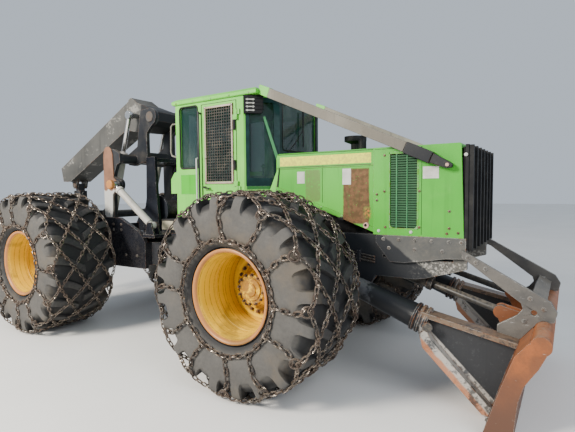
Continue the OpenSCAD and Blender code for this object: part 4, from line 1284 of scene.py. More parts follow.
def round_tree() -> Grower:
    """Returns a tree that copies a part round an axis along Y.

    Returns:
        The tree, with inputs Count, Middle and Start.
    """
    tree = Grower("parts_round_a_wheel",
                  {"Count": "NodeSocketInt", "Middle": "NodeSocketVector", "Start": "NodeSocketFloat"})
    points = tree.node("GeometryNodePoints", None,
                       {"Count": tree.inputs["Count"], "Position": tree.inputs["Middle"]})
    number = tree.node("GeometryNodeInputIndex").outputs[0]
    step = tree.math("DIVIDE", 2 * math.pi, tree.inputs["Count"])
    turn = tree.math("MULTIPLY_ADD", number, step, tree.inputs["Start"])
    tree.close(points.outputs[0], tree.about((0.0, 1.0, 0.0), turn))
    return tree


def row_tree() -> Grower:
    """Returns a tree that sets a part in a row.

    Returns:
        The tree, with inputs Count, Start and Step.
    """
    tree = Grower("parts_in_a_row",
                  {"Count": "NodeSocketInt", "Start": "NodeSocketVector", "Step": "NodeSocketVector"})
    number = tree.node("GeometryNodeInputIndex").outputs[0]
    moved = tree.node("ShaderNodeVectorMath", {"operation": "SCALE"}, {0: tree.inputs["Step"], 3: number})
    spot = tree.node("ShaderNodeVectorMath", {"operation": "ADD"},
                     {0: tree.inputs["Start"], 1: moved.outputs[0]})
    points = tree.node("GeometryNodePoints", None,
                       {"Count": tree.inputs["Count"], "Position": spot.outputs[0]})
    tree.close(points.outputs[0], (0.0, 0.0, 0.0))
    return tree


def studs_tree() -> Grower:
    """Returns a tree that sets a part on each point, facing the way its "facing" attribute says.

    Returns:
        The tree, without inputs of its own.
    """
    tree = Grower("parts_on_points", {})
    facing = tree.node("GeometryNodeInputNamedAttribute", {"data_type": "FLOAT_VECTOR"}, {"Name": "facing"})
    turn = tree.node("FunctionNodeAlignRotationToVector", {"axis": "Z"}, {"Vector": facing.outputs[0]})
    points = tree.node("GeometryNodeMeshToPoints", None, {"Mesh": tree.inputs["Geometry"]})
    tree.close(points.outputs[0], turn.outputs[0])
    return tree


def links_tree() -> Grower:
    """Returns a tree that lays links along lines, every second one turned by a quarter.

    Returns:
        The tree, with the input Pitch.
    """
    tree = Grower("links_along_lines", {"Pitch": "NodeSocketFloat"})
    curve = tree.node("GeometryNodeMeshToCurve", None, {"Mesh": tree.inputs["Geometry"]})
    points = tree.node("GeometryNodeCurveToPoints", {"mode": "LENGTH"},
                       {"Curve": curve.outputs[0], "Length": tree.inputs["Pitch"]})
    facing = tree.node("GeometryNodeInputNamedAttribute", {"data_type": "FLOAT_VECTOR"}, {"Name": "facing"})
    flat = tree.node("FunctionNodeAlignRotationToVector", {"axis": "X", "pivot_axis": "Z"},
                     {"Rotation": points.outputs["Rotation"], "Vector": facing.outputs[0]})
    odd = tree.math("MODULO", tree.node("GeometryNodeInputIndex").outputs[0], 2.0)
    quarter = tree.about((0.0, 0.0, 1.0), tree.math("MULTIPLY", odd, math.pi / 2))
    turn = tree.node("FunctionNodeRotateRotation", {"rotation_space": "LOCAL"},
                     {"Rotation": flat.outputs[0], "Rotate By": quarter})
    tree.close(points.outputs[0], turn.outputs[0])
    return tree


def guided(name: str, points: Sequence[Place], facing: Sequence[Place],
           lines: Sequence[tuple[int, int]] = ()) -> Mesh:
    """Makes a mesh of points or lines that know which way is outwards.

    Args:
        name: Its name.
        points: Places.
        facing: Outward direction at each point.
        lines: Pairs of point numbers.

    Returns:
        The mesh.
    """
    mesh = bpy.data.meshes.new(name)
    mesh.from_pydata(points, lines, [])
    layer = mesh.attributes.new("facing", "FLOAT_VECTOR", "POINT")
    layer.data.foreach_set("vector", [c for way in facing for c in way])
    return mesh


@dataclass
class Repeats:
    """The trees that the sub-assemblies share."""

    round: Grower = field(default_factory=round_tree)
    row: Grower = field(default_factory=row_tree)
    studs: Grower = field(default_factory=studs_tree)
    links: Grower = field(default_factory=links_tree)

    def bolts(self, name: str, body: str, spots: Sequence[Spot], radius: float = 0.014,
              finish: str = "bolt") -> bpy.types.Object:
        """Sets a bolt head and washer on each spot.

        Args:
            name: Name of the piece.
            body: Body that it rides on.
            spots: Pairs of place and outward direction.
            radius: Half width of a head.
            finish: Short name of the material.

        Returns:
            The piece.
        """
        centre, up = (0.0, 0.0, 0.0), (0.0, 0.0, 1.0)
        washer = radius * 1.5
        head = Shape()
        head.spin([(BOLT_AXIS, -0.001), (washer, -0.001), (washer, 0.003), (radius, 0.004)], centre, up, 12)
        head.spin([(radius, 0.003), (radius, radius * 0.8), (radius * 0.85, radius), (BOLT_AXIS, radius)],
                  centre, up, 6)
        host = guided(name, [spot for spot, _ in spots], [outward for _, outward in spots])
        return place(smoothed(self.studs.grow(name, head, finish, host)), name, finish, "", body)


def paired(spots: Sequence[Spot]) -> list[Spot]:
    """Returns the spots and their mirror images across the middle plane."""
    return list(spots) + [((p[0], -p[1], p[2]), (d[0], -d[1], d[2])) for p, d in spots]


def on_right(x: float, y: float, z: float) -> Spot:
    """Returns a bolt's spot near the front axle, on a wall at y to the left that its twin mirrors."""
    return front(x, -y, z), RIGHTWARD


# Sub-assemblies


@dataclass
class Wheel:
    """A tyre with bent lugs, its chain, and the bolts and rings of its rim."""

    place: str
    side: Side
    centre: Vector
    lugs: int = 20
    lug_half: float = 0.18
    runs: int = 12
    mean_radius: float = 0.95
    link_half: float = 0.0165
    link_wide: float = 0.0175
    link_bar: float = 0.0072
    link_pitch: float = 0.052
    wall_pitch: float = 0.063
    crown: float = 0.975
    ring_radius: float = 0.047
    ring_bar: float = 0.0095
    ring_at: Pair = (0.9, 0.468)

    # Half of the section from bead to crown. Each row: radius and width over the lugs, radius and width in
    # the grooves, shift of the lugs along the tread, and half of a lug's share of the pitch.
    section: Sequence[tuple[float, ...]] = (
        (0.4205, 0.3, 0.4205, 0.3, 0.123, 0.18), (0.4205, 0.365, 0.4205, 0.365, 0.123, 0.18),
        (0.452, 0.382, 0.452, 0.382, 0.123, 0.18), (0.47, 0.372, 0.47, 0.372, 0.123, 0.18),
        (0.473, 0.4005, 0.473, 0.4005, 0.123, 0.18), (0.506, 0.424, 0.506, 0.424, 0.123, 0.18),
        (0.554, 0.445, 0.554, 0.445, 0.123, 0.18), (0.61, 0.458, 0.61, 0.458, 0.123, 0.19),
        (0.67, 0.463, 0.67, 0.463, 0.123, 0.22), (0.72, 0.4625, 0.72, 0.4625, 0.123, 0.27),
        (0.76, 0.4615, 0.76, 0.4615, 0.123, 0.33), (0.782, 0.4607, 0.782, 0.4607, 0.123, 0.38),
        (0.792, 0.4603, 0.795, 0.453, 0.123, 0.34), (0.804, 0.4598, 0.808, 0.444, 0.123, 0.275),
        (0.82, 0.459, 0.824, 0.433, 0.123, 0.23), (0.842, 0.4575, 0.842, 0.42, 0.122, 0.205),
        (0.866, 0.455, 0.859, 0.407, 0.121, 0.193), (0.891, 0.451, 0.875, 0.394, 0.12, 0.187),
        (0.915, 0.446, 0.887, 0.382, 0.118, 0.185), (0.934, 0.438, 0.897, 0.366, 0.116, 0.18),
        (0.949, 0.426, 0.904, 0.35, 0.113, 0.178), (0.959, 0.408, 0.91, 0.332, 0.11, 0.175),
        (0.9635, 0.385, 0.913, 0.313, 0.104, 0.172), (0.965, 0.35, 0.916, 0.29, 0.098, 0.17),
        (0.9655, 0.3, 0.917, 0.26, 0.084, 0.168), (0.966, 0.24, 0.918, 0.22, 0.07, 0.166),
        (0.966, 0.18, 0.918, 0.175, 0.042, 0.166), (0.966, 0.12, 0.918, 0.12, 0.008, 0.166),
        (0.966, 0.07, 0.918, 0.07, -0.022, 0.168), (0.964, 0.022, 0.918, 0.024, -0.05, 0.172),
        (0.918, 0.01, 0.918, 0.01, -0.057, 0.178),
    )
    # Places of the mesh columns in one pitch, close together at the edges of the lugs
    columns: Sequence[float] = (0.0, 0.06, 0.12, 0.163, 0.197, 0.25, 0.303, 0.337, 0.38, 0.44)

    @property
    def tyre_node(self) -> str:
        """Name of the tyre's CAD node."""
        return "tyre_" + self.place

    @property
    def body(self) -> str:
        """Name of the wheel's body."""
        return "wheel_" + self.place

    def at(self, angle: float, radius: float, out: float) -> Vector:
        """Returns a place on the wheel.

        Args:
            angle: Angle round the axle.
            radius: Distance from the axle.
            out: Distance towards the outside of the machine.

        Returns:
            The place.
        """
        return self.centre + Vector((radius * math.cos(angle), self.side.value * out,
                                     radius * math.sin(angle)))

    def spread(self, local: float, half: float) -> float:
        """Moves a column so that it keeps to the edge of a lug.

        Args:
            local: Column's place from a lug's middle, from -0.5 to 0.5 of the pitch.
            half: Half of the lug's share of the pitch.

        Returns:
            The moved place.
        """
        size = abs(local)
        if size <= self.lug_half:
            moved = size * half / self.lug_half
        else:
            moved = half + (size - self.lug_half) * (0.5 - half) / (0.5 - self.lug_half)
        return math.copysign(moved, local)

    def tyre(self) -> None:
        """Builds the tyre as one closed surface: walls, lugs that lap the shoulders, and grooves."""
        rows = [(1.0, row) for row in self.section] + [(-1.0, row) for row in reversed(self.section)]
        pitch = 2 * math.pi / self.lugs
        places = [column + half for half in (0.0, 0.5) for column in self.columns]
        points: list[Vector] = []
        for sign, (lug_r, lug_w, groove_r, groove_w, shift, half) in rows:
            for number in range(self.lugs):
                for column in places:
                    offset = 0.0 if sign > 0 else 0.5
                    local = (column - offset + 0.5) % 1.0 - 0.5
                    middle_at = number + column - local
                    turn = (middle_at + self.spread(local, half)) * pitch + shift / self.mean_radius
                    raised = abs(local) < self.lug_half
                    worn = 0.0035 if raised and abs(local) > 0.15 and lug_r > 0.93 else 0.0
                    radius, width = (lug_r - worn, lug_w) if raised else (groove_r, groove_w)
                    points.append(self.at(turn, radius, sign * width))
        count = self.lugs * len(places)
        faces = []
        for i in range(len(rows)):
            j = (i + 1) % len(rows)
            faces += [(i * count + k, i * count + (k + 1) % count, j * count + (k + 1) % count,
                       j * count + k)
                      for k in range(count)]
        name = self.tyre_node + "_rubber"
        place(Shape().add(points, faces).mesh(name, 38.0), name, "rubber", "tyre", self.body, self.tyre_node)

    def lines(self, on_wall: bool) -> Mesh:
        """Returns the lines that the chain follows.

        Args:
            on_wall: Gives the ring and the runs on the walls, and otherwise the net over the tread.

        Returns:
            A mesh of lines.
        """
        points: list[Place] = []
        facing: list[Place] = []
        edges: list[tuple[int, int]] = []

        def line(knots: Sequence[Place], closed: bool = False) -> None:
            """Adds one run.

            Args:
                knots: Angle, radius and width of each knot.
                closed: Joins the last knot to the first.
            """
            start = len(points)
            for angle, radius, out in knots:
                spot = self.at(angle, radius, out)
                tilt = min(1.0, max(0.0, (radius - 0.82) / 0.14))
                points.append(tuple(spot))
                ahead = self.at(angle, radius + tilt, out + math.copysign(1.0 - tilt, out))
                facing.append(tuple(ahead - spot))
            edges.extend((i, i + 1) for i in range(start, len(points) - 1))
            if closed:
                edges.append((len(points) - 1, start))

        step = 2 * math.pi / self.runs
        top = self.crown
        bow = ((0.05, 0.921, 0.456), (0.16, 0.946, 0.438), (0.32, 0.966, 0.408), (0.5, top, 0.372),
               (0.68, 0.966, 0.408), (0.84, 0.946, 0.438), (0.95, 0.921, 0.456))
        net = (bow, ((0.5, top, 0.372), (0.75, top, 0.285), (1.0, top, 0.19)),
               ((0.5, top, 0.372), (0.25, top, 0.285), (0.0, top, 0.19)),
               ((0.0, top, 0.19), (0.25, top, 0.095), (0.5, top, 0.0)),
               ((0.0, top, 0.19), (-0.25, top, 0.095), (-0.5, top, 0.0)))
        hang = ((0.0, 0.56, 0.467), (0.5, 0.64, 0.4735), (1.0, 0.74, 0.475), (0.6, 0.84, 0.4715),
                (0.0, 0.862, 0.468))
        for sign in (1.0, -1.0):
            if on_wall:
                line([(k * step / 2, 0.536 if k % 2 else 0.552, sign * (0.46 if k % 2 else 0.463))
                      for k in range(2 * self.runs)], closed=True)
            for i in range(self.runs):
                lean = 0.05 if i % 2 else -0.045
                for run in (hang,) if on_wall else net:
                    reach = lean if on_wall else step
                    line([(i * step + reach * share, radius, sign * out) for share, radius, out in run])
        return guided(self.tyre_node + "_lines", points, facing, edges)

    def link(self, size: float = 1.0) -> Shape:
        """Builds one oval link about the origin, long along Z and flat in the YZ plane.

        Args:
            size: Its size against a link of the net.

        Returns:
            The shape.
        """
        path = []
        for k in range(10):
            angle = 2 * math.pi * k / 10
            rise = math.sin(angle)
            stretch = math.copysign(self.link_half, rise) if abs(rise) > 0.1 else 0.0
            path.append((0.0, self.link_wide * size * math.cos(angle),
                         size * (self.link_half * rise + stretch)))
        return Shape().tube(path, self.link_bar * size, 5, closed=True)

    def chain(self) -> None:
        """Builds the links, and the round rings at the shoulders."""
        node = "chain_" + self.place
        for label, size, pitch in (("_net", 1.0, self.link_pitch), ("_wall", 1.2, self.wall_pitch)):
            lines = self.lines(label == "_wall")
            mesh = REPEATS.links.grow(node + label, self.link(size), "chain", lines, Pitch=pitch)
            place(smoothed(mesh, 60.0), node + label, "chain", "tyre_chain", self.body, node)
        rings = Shape()
        for i in range(self.runs):
            angle = i * 2 * math.pi / self.runs
            for sign in (1.0, -1.0):
                radius, out = self.ring_at
                centre = self.at(angle, radius, sign * out)
                outward = (self.at(angle, radius + 0.55, sign * (out + 0.83)) - centre).normalized()
                first = outward.orthogonal().normalized()
                second = outward.cross(first)
                turns = [k * math.pi / 8 for k in range(16)]
                rings.tube([centre + self.ring_radius * (math.cos(turn) * first + math.sin(turn) * second)
                            for turn in turns], self.ring_bar, 6, closed=True)
        rings.piece(node + "_rings", "chain", "tyre_chain", body=self.body, instead=node)

    def rim(self) -> None:
        """Adds the bolts of the disc and the hub, the hub's cover and the rings of the dish."""
        turn = self.side.value
        axis = (0.0, turn, 0.0)
        for radius, reach, count, size in ((0.262, -0.108, 20, 0.017), (0.15, 0.042, 12, 0.013)):
            bolt = Shape()
            spot = (radius, turn * reach, 0.0)
            washer = size * 1.3
            bolt.spin([(BOLT_AXIS, 0.0), (washer, 0.0), (washer, 0.004), (size, 0.005)], spot, axis, 12)
            bolt.spin([(size, 0.004), (size, 0.02), (size * 0.8, 0.026), (BOLT_AXIS, 0.026)], spot, axis, 6)
            name = f"{self.body}_bolts_{count}"
            mesh = REPEATS.round.grow(name, bolt, "rusty_bolt", Count=count, Middle=tuple(self.centre),
                                      Start=0.1)
            place(smoothed(mesh), name, "rusty_bolt", "rim_yellow", self.body)
        cover = Shape()
        cover.spin([(0.1, 0.038), (0.118, 0.044), (0.112, 0.052), (0.07, 0.056), (0.066, 0.066),
                    (AXIS, 0.068)],
                   self.centre, axis, 48)
        cover.spin([(0.4, 0.11), (0.393, 0.116), (0.393, 0.124), (0.4, 0.13)], self.centre, axis, 72)
        cover.piece(self.body + "_hub_cover", "yellow", "rim_yellow", body=self.body)

    def build(self) -> None:
        """Builds the wheel's pieces."""
        self.tyre()
        self.chain()
        self.rim()


@dataclass
class FrontBody:
    """Hood, radiator housing and grille: vents, plates, seams and fasteners."""

    hood_y: float = 0.58
    box_y: float = 0.62
    vent: tuple[float, float, float, float] = (1.14, 1.43, 1.6, 2.36)
    vent_round: float = 0.04
    slat_pitch: float = 0.024

    def vents(self) -> None:
        """Builds the fine side vents that stand for the coarse solid ones: edges, ribs and slats."""
        x0, x1, z0, z1 = self.vent
        y0, y1 = self.box_y - 0.018, self.box_y + 0.0012
        left, right, top = 0.006, 0.012, 0.02
        edge = Shape().bars((x0, x1), (y0, y1), (z0, z1), left, right, left, top)
        for x, turn in ((x0 + left, 1.0), (x1 - right, -1.0)):
            turns = [k * math.pi / 12 for k in range(7)]
            arc = [(x + turn * self.vent_round * (1 - math.sin(t)),
                    z0 + left + self.vent_round * (1 - math.cos(t)))
                   for t in turns]
            for (xa, za), (xb, zb) in zip(arc, arc[1:]):
                fillet = profile((xa, z0 + 0.005), (xb, z0 + 0.005), (xb, zb), (xa, za))
                edge.slab(fillet, Way.ACROSS, y0, y1)
        edge.mirrored().piece("vent_edges", "green", "mesh_dark", instead="side_mesh")
        ribs = Shape()
        for x, width in ((1.206, 0.013), (1.312, 0.01)):
            ribs.box(front(x, y0, z0 + 0.004), front(x + width, self.box_y - 0.003, z1 - 0.01))
        ribs.mirrored().piece("vent_ribs", "pillar", "mesh_dark", 0.002, instead="side_mesh")
        count = int((z1 - z0 - 0.03) / self.slat_pitch)
        slats = []
        for side in (-1.0, 1.0):
            slat = Shape()
            slat.slab([(-0.008 * side, 0.0), (0.002 * side, -0.002), (0.003 * side, 0.013),
                       (-0.006 * side, 0.016)],
                      Way.ALONG, 0.0, x1 - x0 - 0.02)
            start = front(x0 + 0.01, side * (self.box_y - 0.012), z0 + 0.018)
            slats.append(REPEATS.row.grow("slats", slat, "vent", Count=count, Start=start,
                                          Step=(0.0, 0.0, self.slat_pitch)))
        place(joined("vent_slats", slats), "vent_slats", "vent", "mesh_dark", instead="side_mesh")
        back = Shape().box(front(x0 - 0.01, self.box_y - 0.048, z0 - 0.01),
                           front(x1 + 0.01, self.box_y - 0.04, z1 + 0.01))
        back.mirrored().piece("vent_backs", "vent_back", "black_plastic")

    def plates(self) -> None:
        """Adds the blank plates that stand on the panels."""
        white = Shape()
        spots = [(0.035, 0.135, 2.065, 2.2, self.hood_y), (0.605, 0.705, 2.045, 2.215, self.hood_y),
                 (1.472, 1.622, 2.09, 2.205, self.box_y)]
        for x0, x1, z0, z1, y in spots:
            white.box(front(x0, -y - 0.003, z0), front(x1, -y + 0.002, z1))
        white.piece("blank_plates", "blank", "green_paint", 0.0015)

    def seams(self) -> None:
        """Adds the dark joints between panels, the latches and the ribs on the hood."""
        seam = Shape()
        y = self.hood_y + 0.0006
        seam.box(front(0.357, y - 0.004, 1.85), front(0.363, y, 2.262))
        seam.box(front(-0.24, y - 0.02, 2.397), front(0.965, y - 0.0168, 2.403))
        yb = self.box_y + 0.0006
        seam.box(front(1.459, yb - 0.004, 1.55), front(1.464, yb, 2.4))
        seam.box(front(0.985, yb - 0.004, 2.392), front(1.46, yb, 2.396))
        seam.mirrored().piece("panel_seams", "gasket", "black_plastic")
        latch = Shape()
        for x in (0.08, 0.55):
            z = 1.93 - 0.36 * (x + 0.2)
            latch.box(front(x, self.hood_y, z), front(x + 0.07, self.hood_y + 0.018, z + 0.035))
        latch.mirrored().piece("hood_latches", "plastic", "black_plastic", 0.004)
        top = Shape()
        for x in (0.12, 0.74):
            top.box(front(x, -0.34, 2.414), front(x + 0.05, 0.34, 2.427))
        top.piece("hood_ribs", "hood", "green_paint", 0.004)

    def fasteners(self) -> None:
        """Sets the bolts of the housing and the hood, and the hood's eyes, wedges and slits."""
        dark = ((1.01, 1.94), (1.01, 1.88), (1.09, 1.97), (1.1, 1.61), (1.44, 1.97), (1.44, 1.62),
                (1.72, 1.78), (1.72, 1.62), (1.7, 1.57), (1.8, 1.58), (1.09, 2.33), (1.44, 2.33))
        pale = ((1.03, 1.57), (1.36, 1.57), (1.86, 2.3))
        for name, places, radius, finish in (("housing_bolts", dark, 0.009, "rusty_bolt"),
                                             ("pale_bolts", pale, 0.011, "blank")):
            spots = [on_right(x, self.box_y + 0.001, z) for x, z in places]
            REPEATS.bolts(name, FRONT, paired(spots), radius, finish)
        flange = [on_right(x, self.hood_y + 0.0125, 2.012 - 0.361 * (x + 0.25)) for x in (0.1, 0.35, 0.6)]
        REPEATS.bolts("hood_bolts", FRONT, paired(flange), 0.01, "green")
        eyes = Shape()
        holes = Shape()
        for x, z in ((-0.02, 1.93), (0.88, 1.615)):
            eyes.cap(front(x, self.hood_y + 0.002, z), LEFTWARD, 0.034, 0.014)
            holes.cap(front(x - 0.004, self.hood_y + 0.015, z + 0.004), LEFTWARD, 0.016, 0.003)
        eyes.mirrored().piece("hood_eyes", "pink_eye", "green_paint")
        holes.mirrored().piece("hood_eye_holes", "slot_dark", "black_plastic")
        wedge = Shape()
        wedge.slab(profile((-0.222, 2.268), (-0.372, 1.935), (-0.268, 1.935), (-0.216, 2.2)),
                   Way.ACROSS, self.hood_y - 0.012, self.hood_y + 0.006)
        wedge.mirrored().piece("hood_wedges", "cab_green", "green_paint", 0.002)
        slit = Shape()
        slit.slab(profile((-0.212, 2.255), (-0.262, 1.935), (-0.236, 1.935), (-0.2, 2.255)),
                  Way.ACROSS, self.hood_y - 0.01, self.hood_y + 0.0075)
        slit.mirrored().piece("hood_slits", "gasket", "black_plastic")

    def grille(self) -> None:
        """Adds the fine net behind the fins of the grille."""
        wire = Shape().box((0.0, -0.6, -0.0015), (0.003, 0.6, 0.0015))
        mesh = REPEATS.row.grow("grille_wires", wire, "mesh", Count=54, Start=front(1.8525, 0.0, 1.6),
                                Step=(0.0, 0.0, 0.0145))
        place(mesh, "grille_wires", "mesh", "black_plastic")
        back = Shape().box(front(1.838, -0.6, 1.56), front(1.846, 0.6, 2.375))
        back.piece("grille_back", "slot_dark", "black_plastic")

    def build(self) -> None:
        """Builds the pieces of the front body."""
        self.vents()
        self.plates()
        self.seams()
        self.fasteners()
        self.grille()


@dataclass
class Cab:
    """Cab: gaskets, guards, rails, lamps and seat."""

    half: float = 0.75
    corner: tuple[float, float, float] = (-0.6, 0.325, 0.28)
    riser_y: Pair = (0.64, 0.712)
    door_x: Pair = (-1.268, -0.712)
    guard: tuple[float, float, float, float] = (-1.222, -0.758, 2.08, 3.04)
    guard_bar: float = 0.026
    pane_round: float = 0.045
    lamp_pitch: float = 0.042
    floor_z: float = 1.65

    def gasket(self, shape: Shape, corners: Sequence[Sequence[float]], radius: float = 0.011) -> None:
        """Adds a rubber seal round a pane.

        Args:
            shape: Shape that it joins.
            corners: Its corners in order.
            radius: Its radius.
        """
        path: list[Vector] = []
        spots = [Vector(c) for c in corners]
        count = len(spots)
        for i, here in enumerate(spots):
            back = (spots[i - 1] - here).normalized()
            ahead = (spots[(i + 1) % count] - here).normalized()
            for k in range(5):
                t = k / 4
                path.append(here + self.pane_round * ((1 - t) ** 2 * back + t**2 * ahead))
        shape.tube(path, radius, 8, closed=True)

    def gaskets(self) -> None:
        """Builds the seals of the fixed panes and of the door panes."""
        y = self.half + 0.001
        fixed = Shape()
        self.gasket(fixed, pane((-1.66, -1.34), (y, y), (2.285, 3.075)))
        fixed.mirrored()
        self.gasket(fixed, pane((-0.2745, -0.2745), (-0.412, 0.412), (2.478, 3.052)))
        self.gasket(fixed, pane((-1.741, -1.741), (-0.562, 0.562), (2.328, 3.032)))
        fixed.piece("cab_gaskets", "gasket", "black_plastic")
        x0, x1 = self.door_x[0] - 0.003, self.door_x[1] + 0.003
        outline = ((x0, 1.645), (-1.0, 1.645), (x1, 2.01), (x1, 3.073), (x0, 3.073))
        seal = Shape().tube([front(x, y, z) for x, z in outline], 0.0045, 6, closed=True)
        seal.mirrored().piece("door_openings_seal", "gasket", "black_plastic")

    def door_guards(self) -> None:
        """Builds the fine mesh guards that stand for the coarse solid ones."""
        x0, x1, z0, z1 = self.guard
        bar = self.guard_bar
        width, height = x1 - x0 - 0.04, z1 - z0 - 0.04
        for side in Side:
            s = side.value
            y0, y1 = s * (self.half + 0.001), s * (self.half + 0.013)
            body = "door_" + side.name.lower()
            node = "door_guard_" + side.name.lower()
            rim = Shape().bars((x0, x1), (y0, y1), (z0, z1), bar, bar, bar, bar)
            rim.piece(body + "_guard_frame", "guard", "door_mesh", 0.003, body, node)
            upright = Shape().box((-0.0045, -0.0035, 0.0), (0.0045, 0.0035, height))
            flat = Shape().box((0.0, -0.0028, -0.004), (width, 0.0028, 0.004))
            start = front(x0 + 0.02, (y0 + y1) / 2, z0 + 0.02)
            wires = [REPEATS.row.grow(body + "_wires", part, "mesh", Count=count, Start=start, Step=step)
                     for part, count, step in ((upright, 12, (width / 11, 0.0, 0.0)),
                                               (flat, 27, (0.0, 0.0, height / 26)))]
            name = body + "_guard_mesh"
            place(joined(name, wires), name, "mesh", "door_mesh", body, node)
            handle = Shape()
            handle.box(front(-1.235, y0, 2.03), front(-1.215, s * (self.half + 0.05), 2.05))
            handle.tube([front(-1.225, s * (self.half + 0.05), 2.04),
                         front(-1.16, s * (self.half + 0.054), 2.03),
                         front(-1.12, s * (self.half + 0.05), 2.02)], 0.009, 8)
            handle.piece(body + "_handle", "plastic", "black_plastic", body=body)
            spots = [(front(x, y1, z), (0.0, s, 0.0)) for x in (x0 + bar / 2, x1 - bar / 2)
                     for z in (z0 + bar / 2, 2.4, 2.72, z1 - bar / 2)]
            REPEATS.bolts(body + "_bolts", body, spots, 0.007)

    def rails(self) -> None:
        """Builds the worn grab bar beside the door and the loop rails behind the cab."""
        foot, y = self.half + 0.001, self.half + 0.03
        path = ((foot, 2.41), (y, 2.4), (y, 2.36), (y, 1.7), (y, 1.66), (foot, 1.65))
        bar = Shape().tube([front(-1.345, out, z) for out, z in path], 0.012, 10)
        bar.mirrored().piece("cab_side_rails", "chrome_worn", "silver_barrel")
        path = ((-1.742, 2.88), (-1.82, 2.88), (-1.85, 2.85), (-1.862, 2.52), (-1.84, 2.465), (-1.742, 2.44))
        loop = Shape().tube([front(x, self.half - 0.02, z) for x, z in path], 0.011, 10)
        loop.mirrored().piece("cab_rear_loops", "riser", "riser_grey")

    def quarter(self, shape: Shape, outline: Sequence[Pair], start: float, end: float) -> None:
        """Adds an outline on the slanting pane at a front corner of the cab.

        Args:
            shape: Shape that it joins.
            outline: Pairs of the share of the way from the door to the windscreen, and the height.
            start: Where it starts, out from the pane.
            end: Where it ends.
        """
        x, along, inward = self.corner
        length = math.hypot(along, inward)
        shape.prism([front(x + along * share + inward / length * out,
                           self.half - inward * share + along / length * out, z)
                     for out in (start, end) for share, z in outline])

    @staticmethod
    def band(start: float, end: float, low: float, high: float) -> list[Pair]:
        """Returns the outline of an upright rectangle on the slanting pane."""
        return [(start, low), (end, low), (end, high), (start, high)]

    def borders(self) -> None:
        """Builds painted shade bands over the posts round the panes, with the pillars, sills, side panels
        and door hinges.
        """
        # Dark bands over the posts of the corner panes: painted shade.
        shade_band = Shape()
        for sizes in ((0.055, 0.155, 2.045, 3.09), (0.835, 1.004, 2.045, 3.09), (0.155, 0.835, 2.045, 2.14),
                      (0.155, 0.835, 3.03, 3.09)):
            self.quarter(shade_band, self.band(*sizes), 0.0012, 0.004)
        shade_band.mirrored().piece("corner_borders", "dark_pane", "black_plastic")
        # Dark bands over the windscreen's posts and edges: painted shade.
        screen = Shape()
        x0, x1 = -0.2745, -0.2715
        for y0, y1, z0, z1 in ((0.405, 0.472, 2.42, 3.09), (-0.472, -0.405, 2.42, 3.09),
                               (-0.405, 0.405, 3.04, 3.09), (-0.405, 0.405, 2.42, 2.485)):
            screen.box(front(x0, y0, z0), front(x1, y1, z1))
        screen.piece("screen_border", "dark_pane", "black_plastic")
        pillar = Shape()
        self.quarter(pillar, [(0.54, 2.86), (0.6, 2.87), (0.975, 2.37), (0.915, 2.33)], 0.0045, 0.016)
        pillar.mirrored().piece("corner_pillars", "pillar", "green_paint", 0.002)
        sill = Shape()
        self.quarter(sill, self.band(0.07, 0.8, 2.005, 2.045), 0.0005, 0.002)
        sill.mirrored().piece("corner_sills", "sill", "green_paint")
        panel = Shape().box(front(-1.66, self.half + 0.0005, 1.95), front(-1.385, self.half + 0.003, 2.205))
        panel.mirrored().piece("side_panels", "panel", "green_paint", 0.001)
        hinge = Shape()
        for z in (2.78, 2.3):
            hinge.box(front(-0.752, self.half + 0.001, z - 0.055),
                      front(-0.728, self.half + 0.022, z + 0.055))
            hinge.tube([front(-0.728, self.half + 0.016, end) for end in (z - 0.06, z + 0.06)], 0.012, 10)
        for side in Side:
            body = "door_" + side.name.lower()
            part = Shape().add([(p.x, side.value * p.y, p.z) for p in hinge.points], hinge.faces)
            part.piece(body + "_hinges", "plastic", "black_plastic", 0.002, body)

    def risers(self) -> None:
        """Builds the limb risers: worn beams with a dark sleeve, a tapered tip and a pin."""
        y0, y1 = self.riser_y
        for name, finish, bevel, wider, outline in (
            ("riser_beams", "riser", 0.006, 0.0,
             ((-0.3, 3.063), (1.3, 2.35), (1.34, 2.44), (-0.26, 3.161))),
            ("riser_sleeves", "black", 0.006, 0.006,
             ((1.3, 2.34), (1.545, 2.228), (1.59, 2.332), (1.345, 2.444))),
            ("riser_roots", "cab_green", 0.004, 0.003,
             ((-0.394, 3.105), (-0.285, 3.056), (-0.245, 3.158), (-0.38, 3.215), (-0.394, 3.2))),
            ("riser_tips", "boom", 0.008, -0.006,
             ((1.545, 2.236), (1.7, 2.18), (1.752, 2.184), (1.76, 2.214), (1.735, 2.236),
              (1.588, 2.322))),
        ):
            part = Shape().slab(profile(*outline), Way.ACROSS, y0 - wider, y1 + wider)
            part.mirrored().piece(name, finish, "riser_grey", bevel, instead="limb_risers")
        pin = Shape().cap(front(1.715, y1 - 0.007, 2.21), LEFTWARD, 0.017, 0.012)
        pin.mirrored().piece("riser_pins", "pink_eye", "riser_grey", instead="limb_risers")

    def lamps(self) -> None:
        """Builds the louvred lamp boxes at the corners, with their fins and pale teeth."""
        box = Shape()
        outline = [(0.0, 2.895), (0.5, 2.895), (0.54, 2.93), (0.54, 3.105), (0.0, 3.105)]
        self.quarter(box, outline, 0.0045, 0.06)
        fins = Shape()
        teeth = Shape()
        for k in range(4):
            z = 2.925 + self.lamp_pitch * k
            self.quarter(fins, self.band(0.02, 0.52, z + 0.016, z + 0.024), 0.06, 0.07)
            for low, high, rise in ((0.065, 0.3, 0.0), (0.085, 0.12, 0.006), (0.245, 0.28, 0.006)):
                self.quarter(teeth, self.band(low, high, z - rise, z + 0.009 + rise), 0.06, 0.064)
        for name, shape, finish, bevel in (("lamp_boxes", box, "plastic", 0.004),
                                           ("lamp_fins", fins, "plastic", 0.0),
                                           ("lamp_teeth", teeth, "blank", 0.0)):
            shape.mirrored().piece(name, finish, "black_plastic", bevel, instead="roof_lamps")

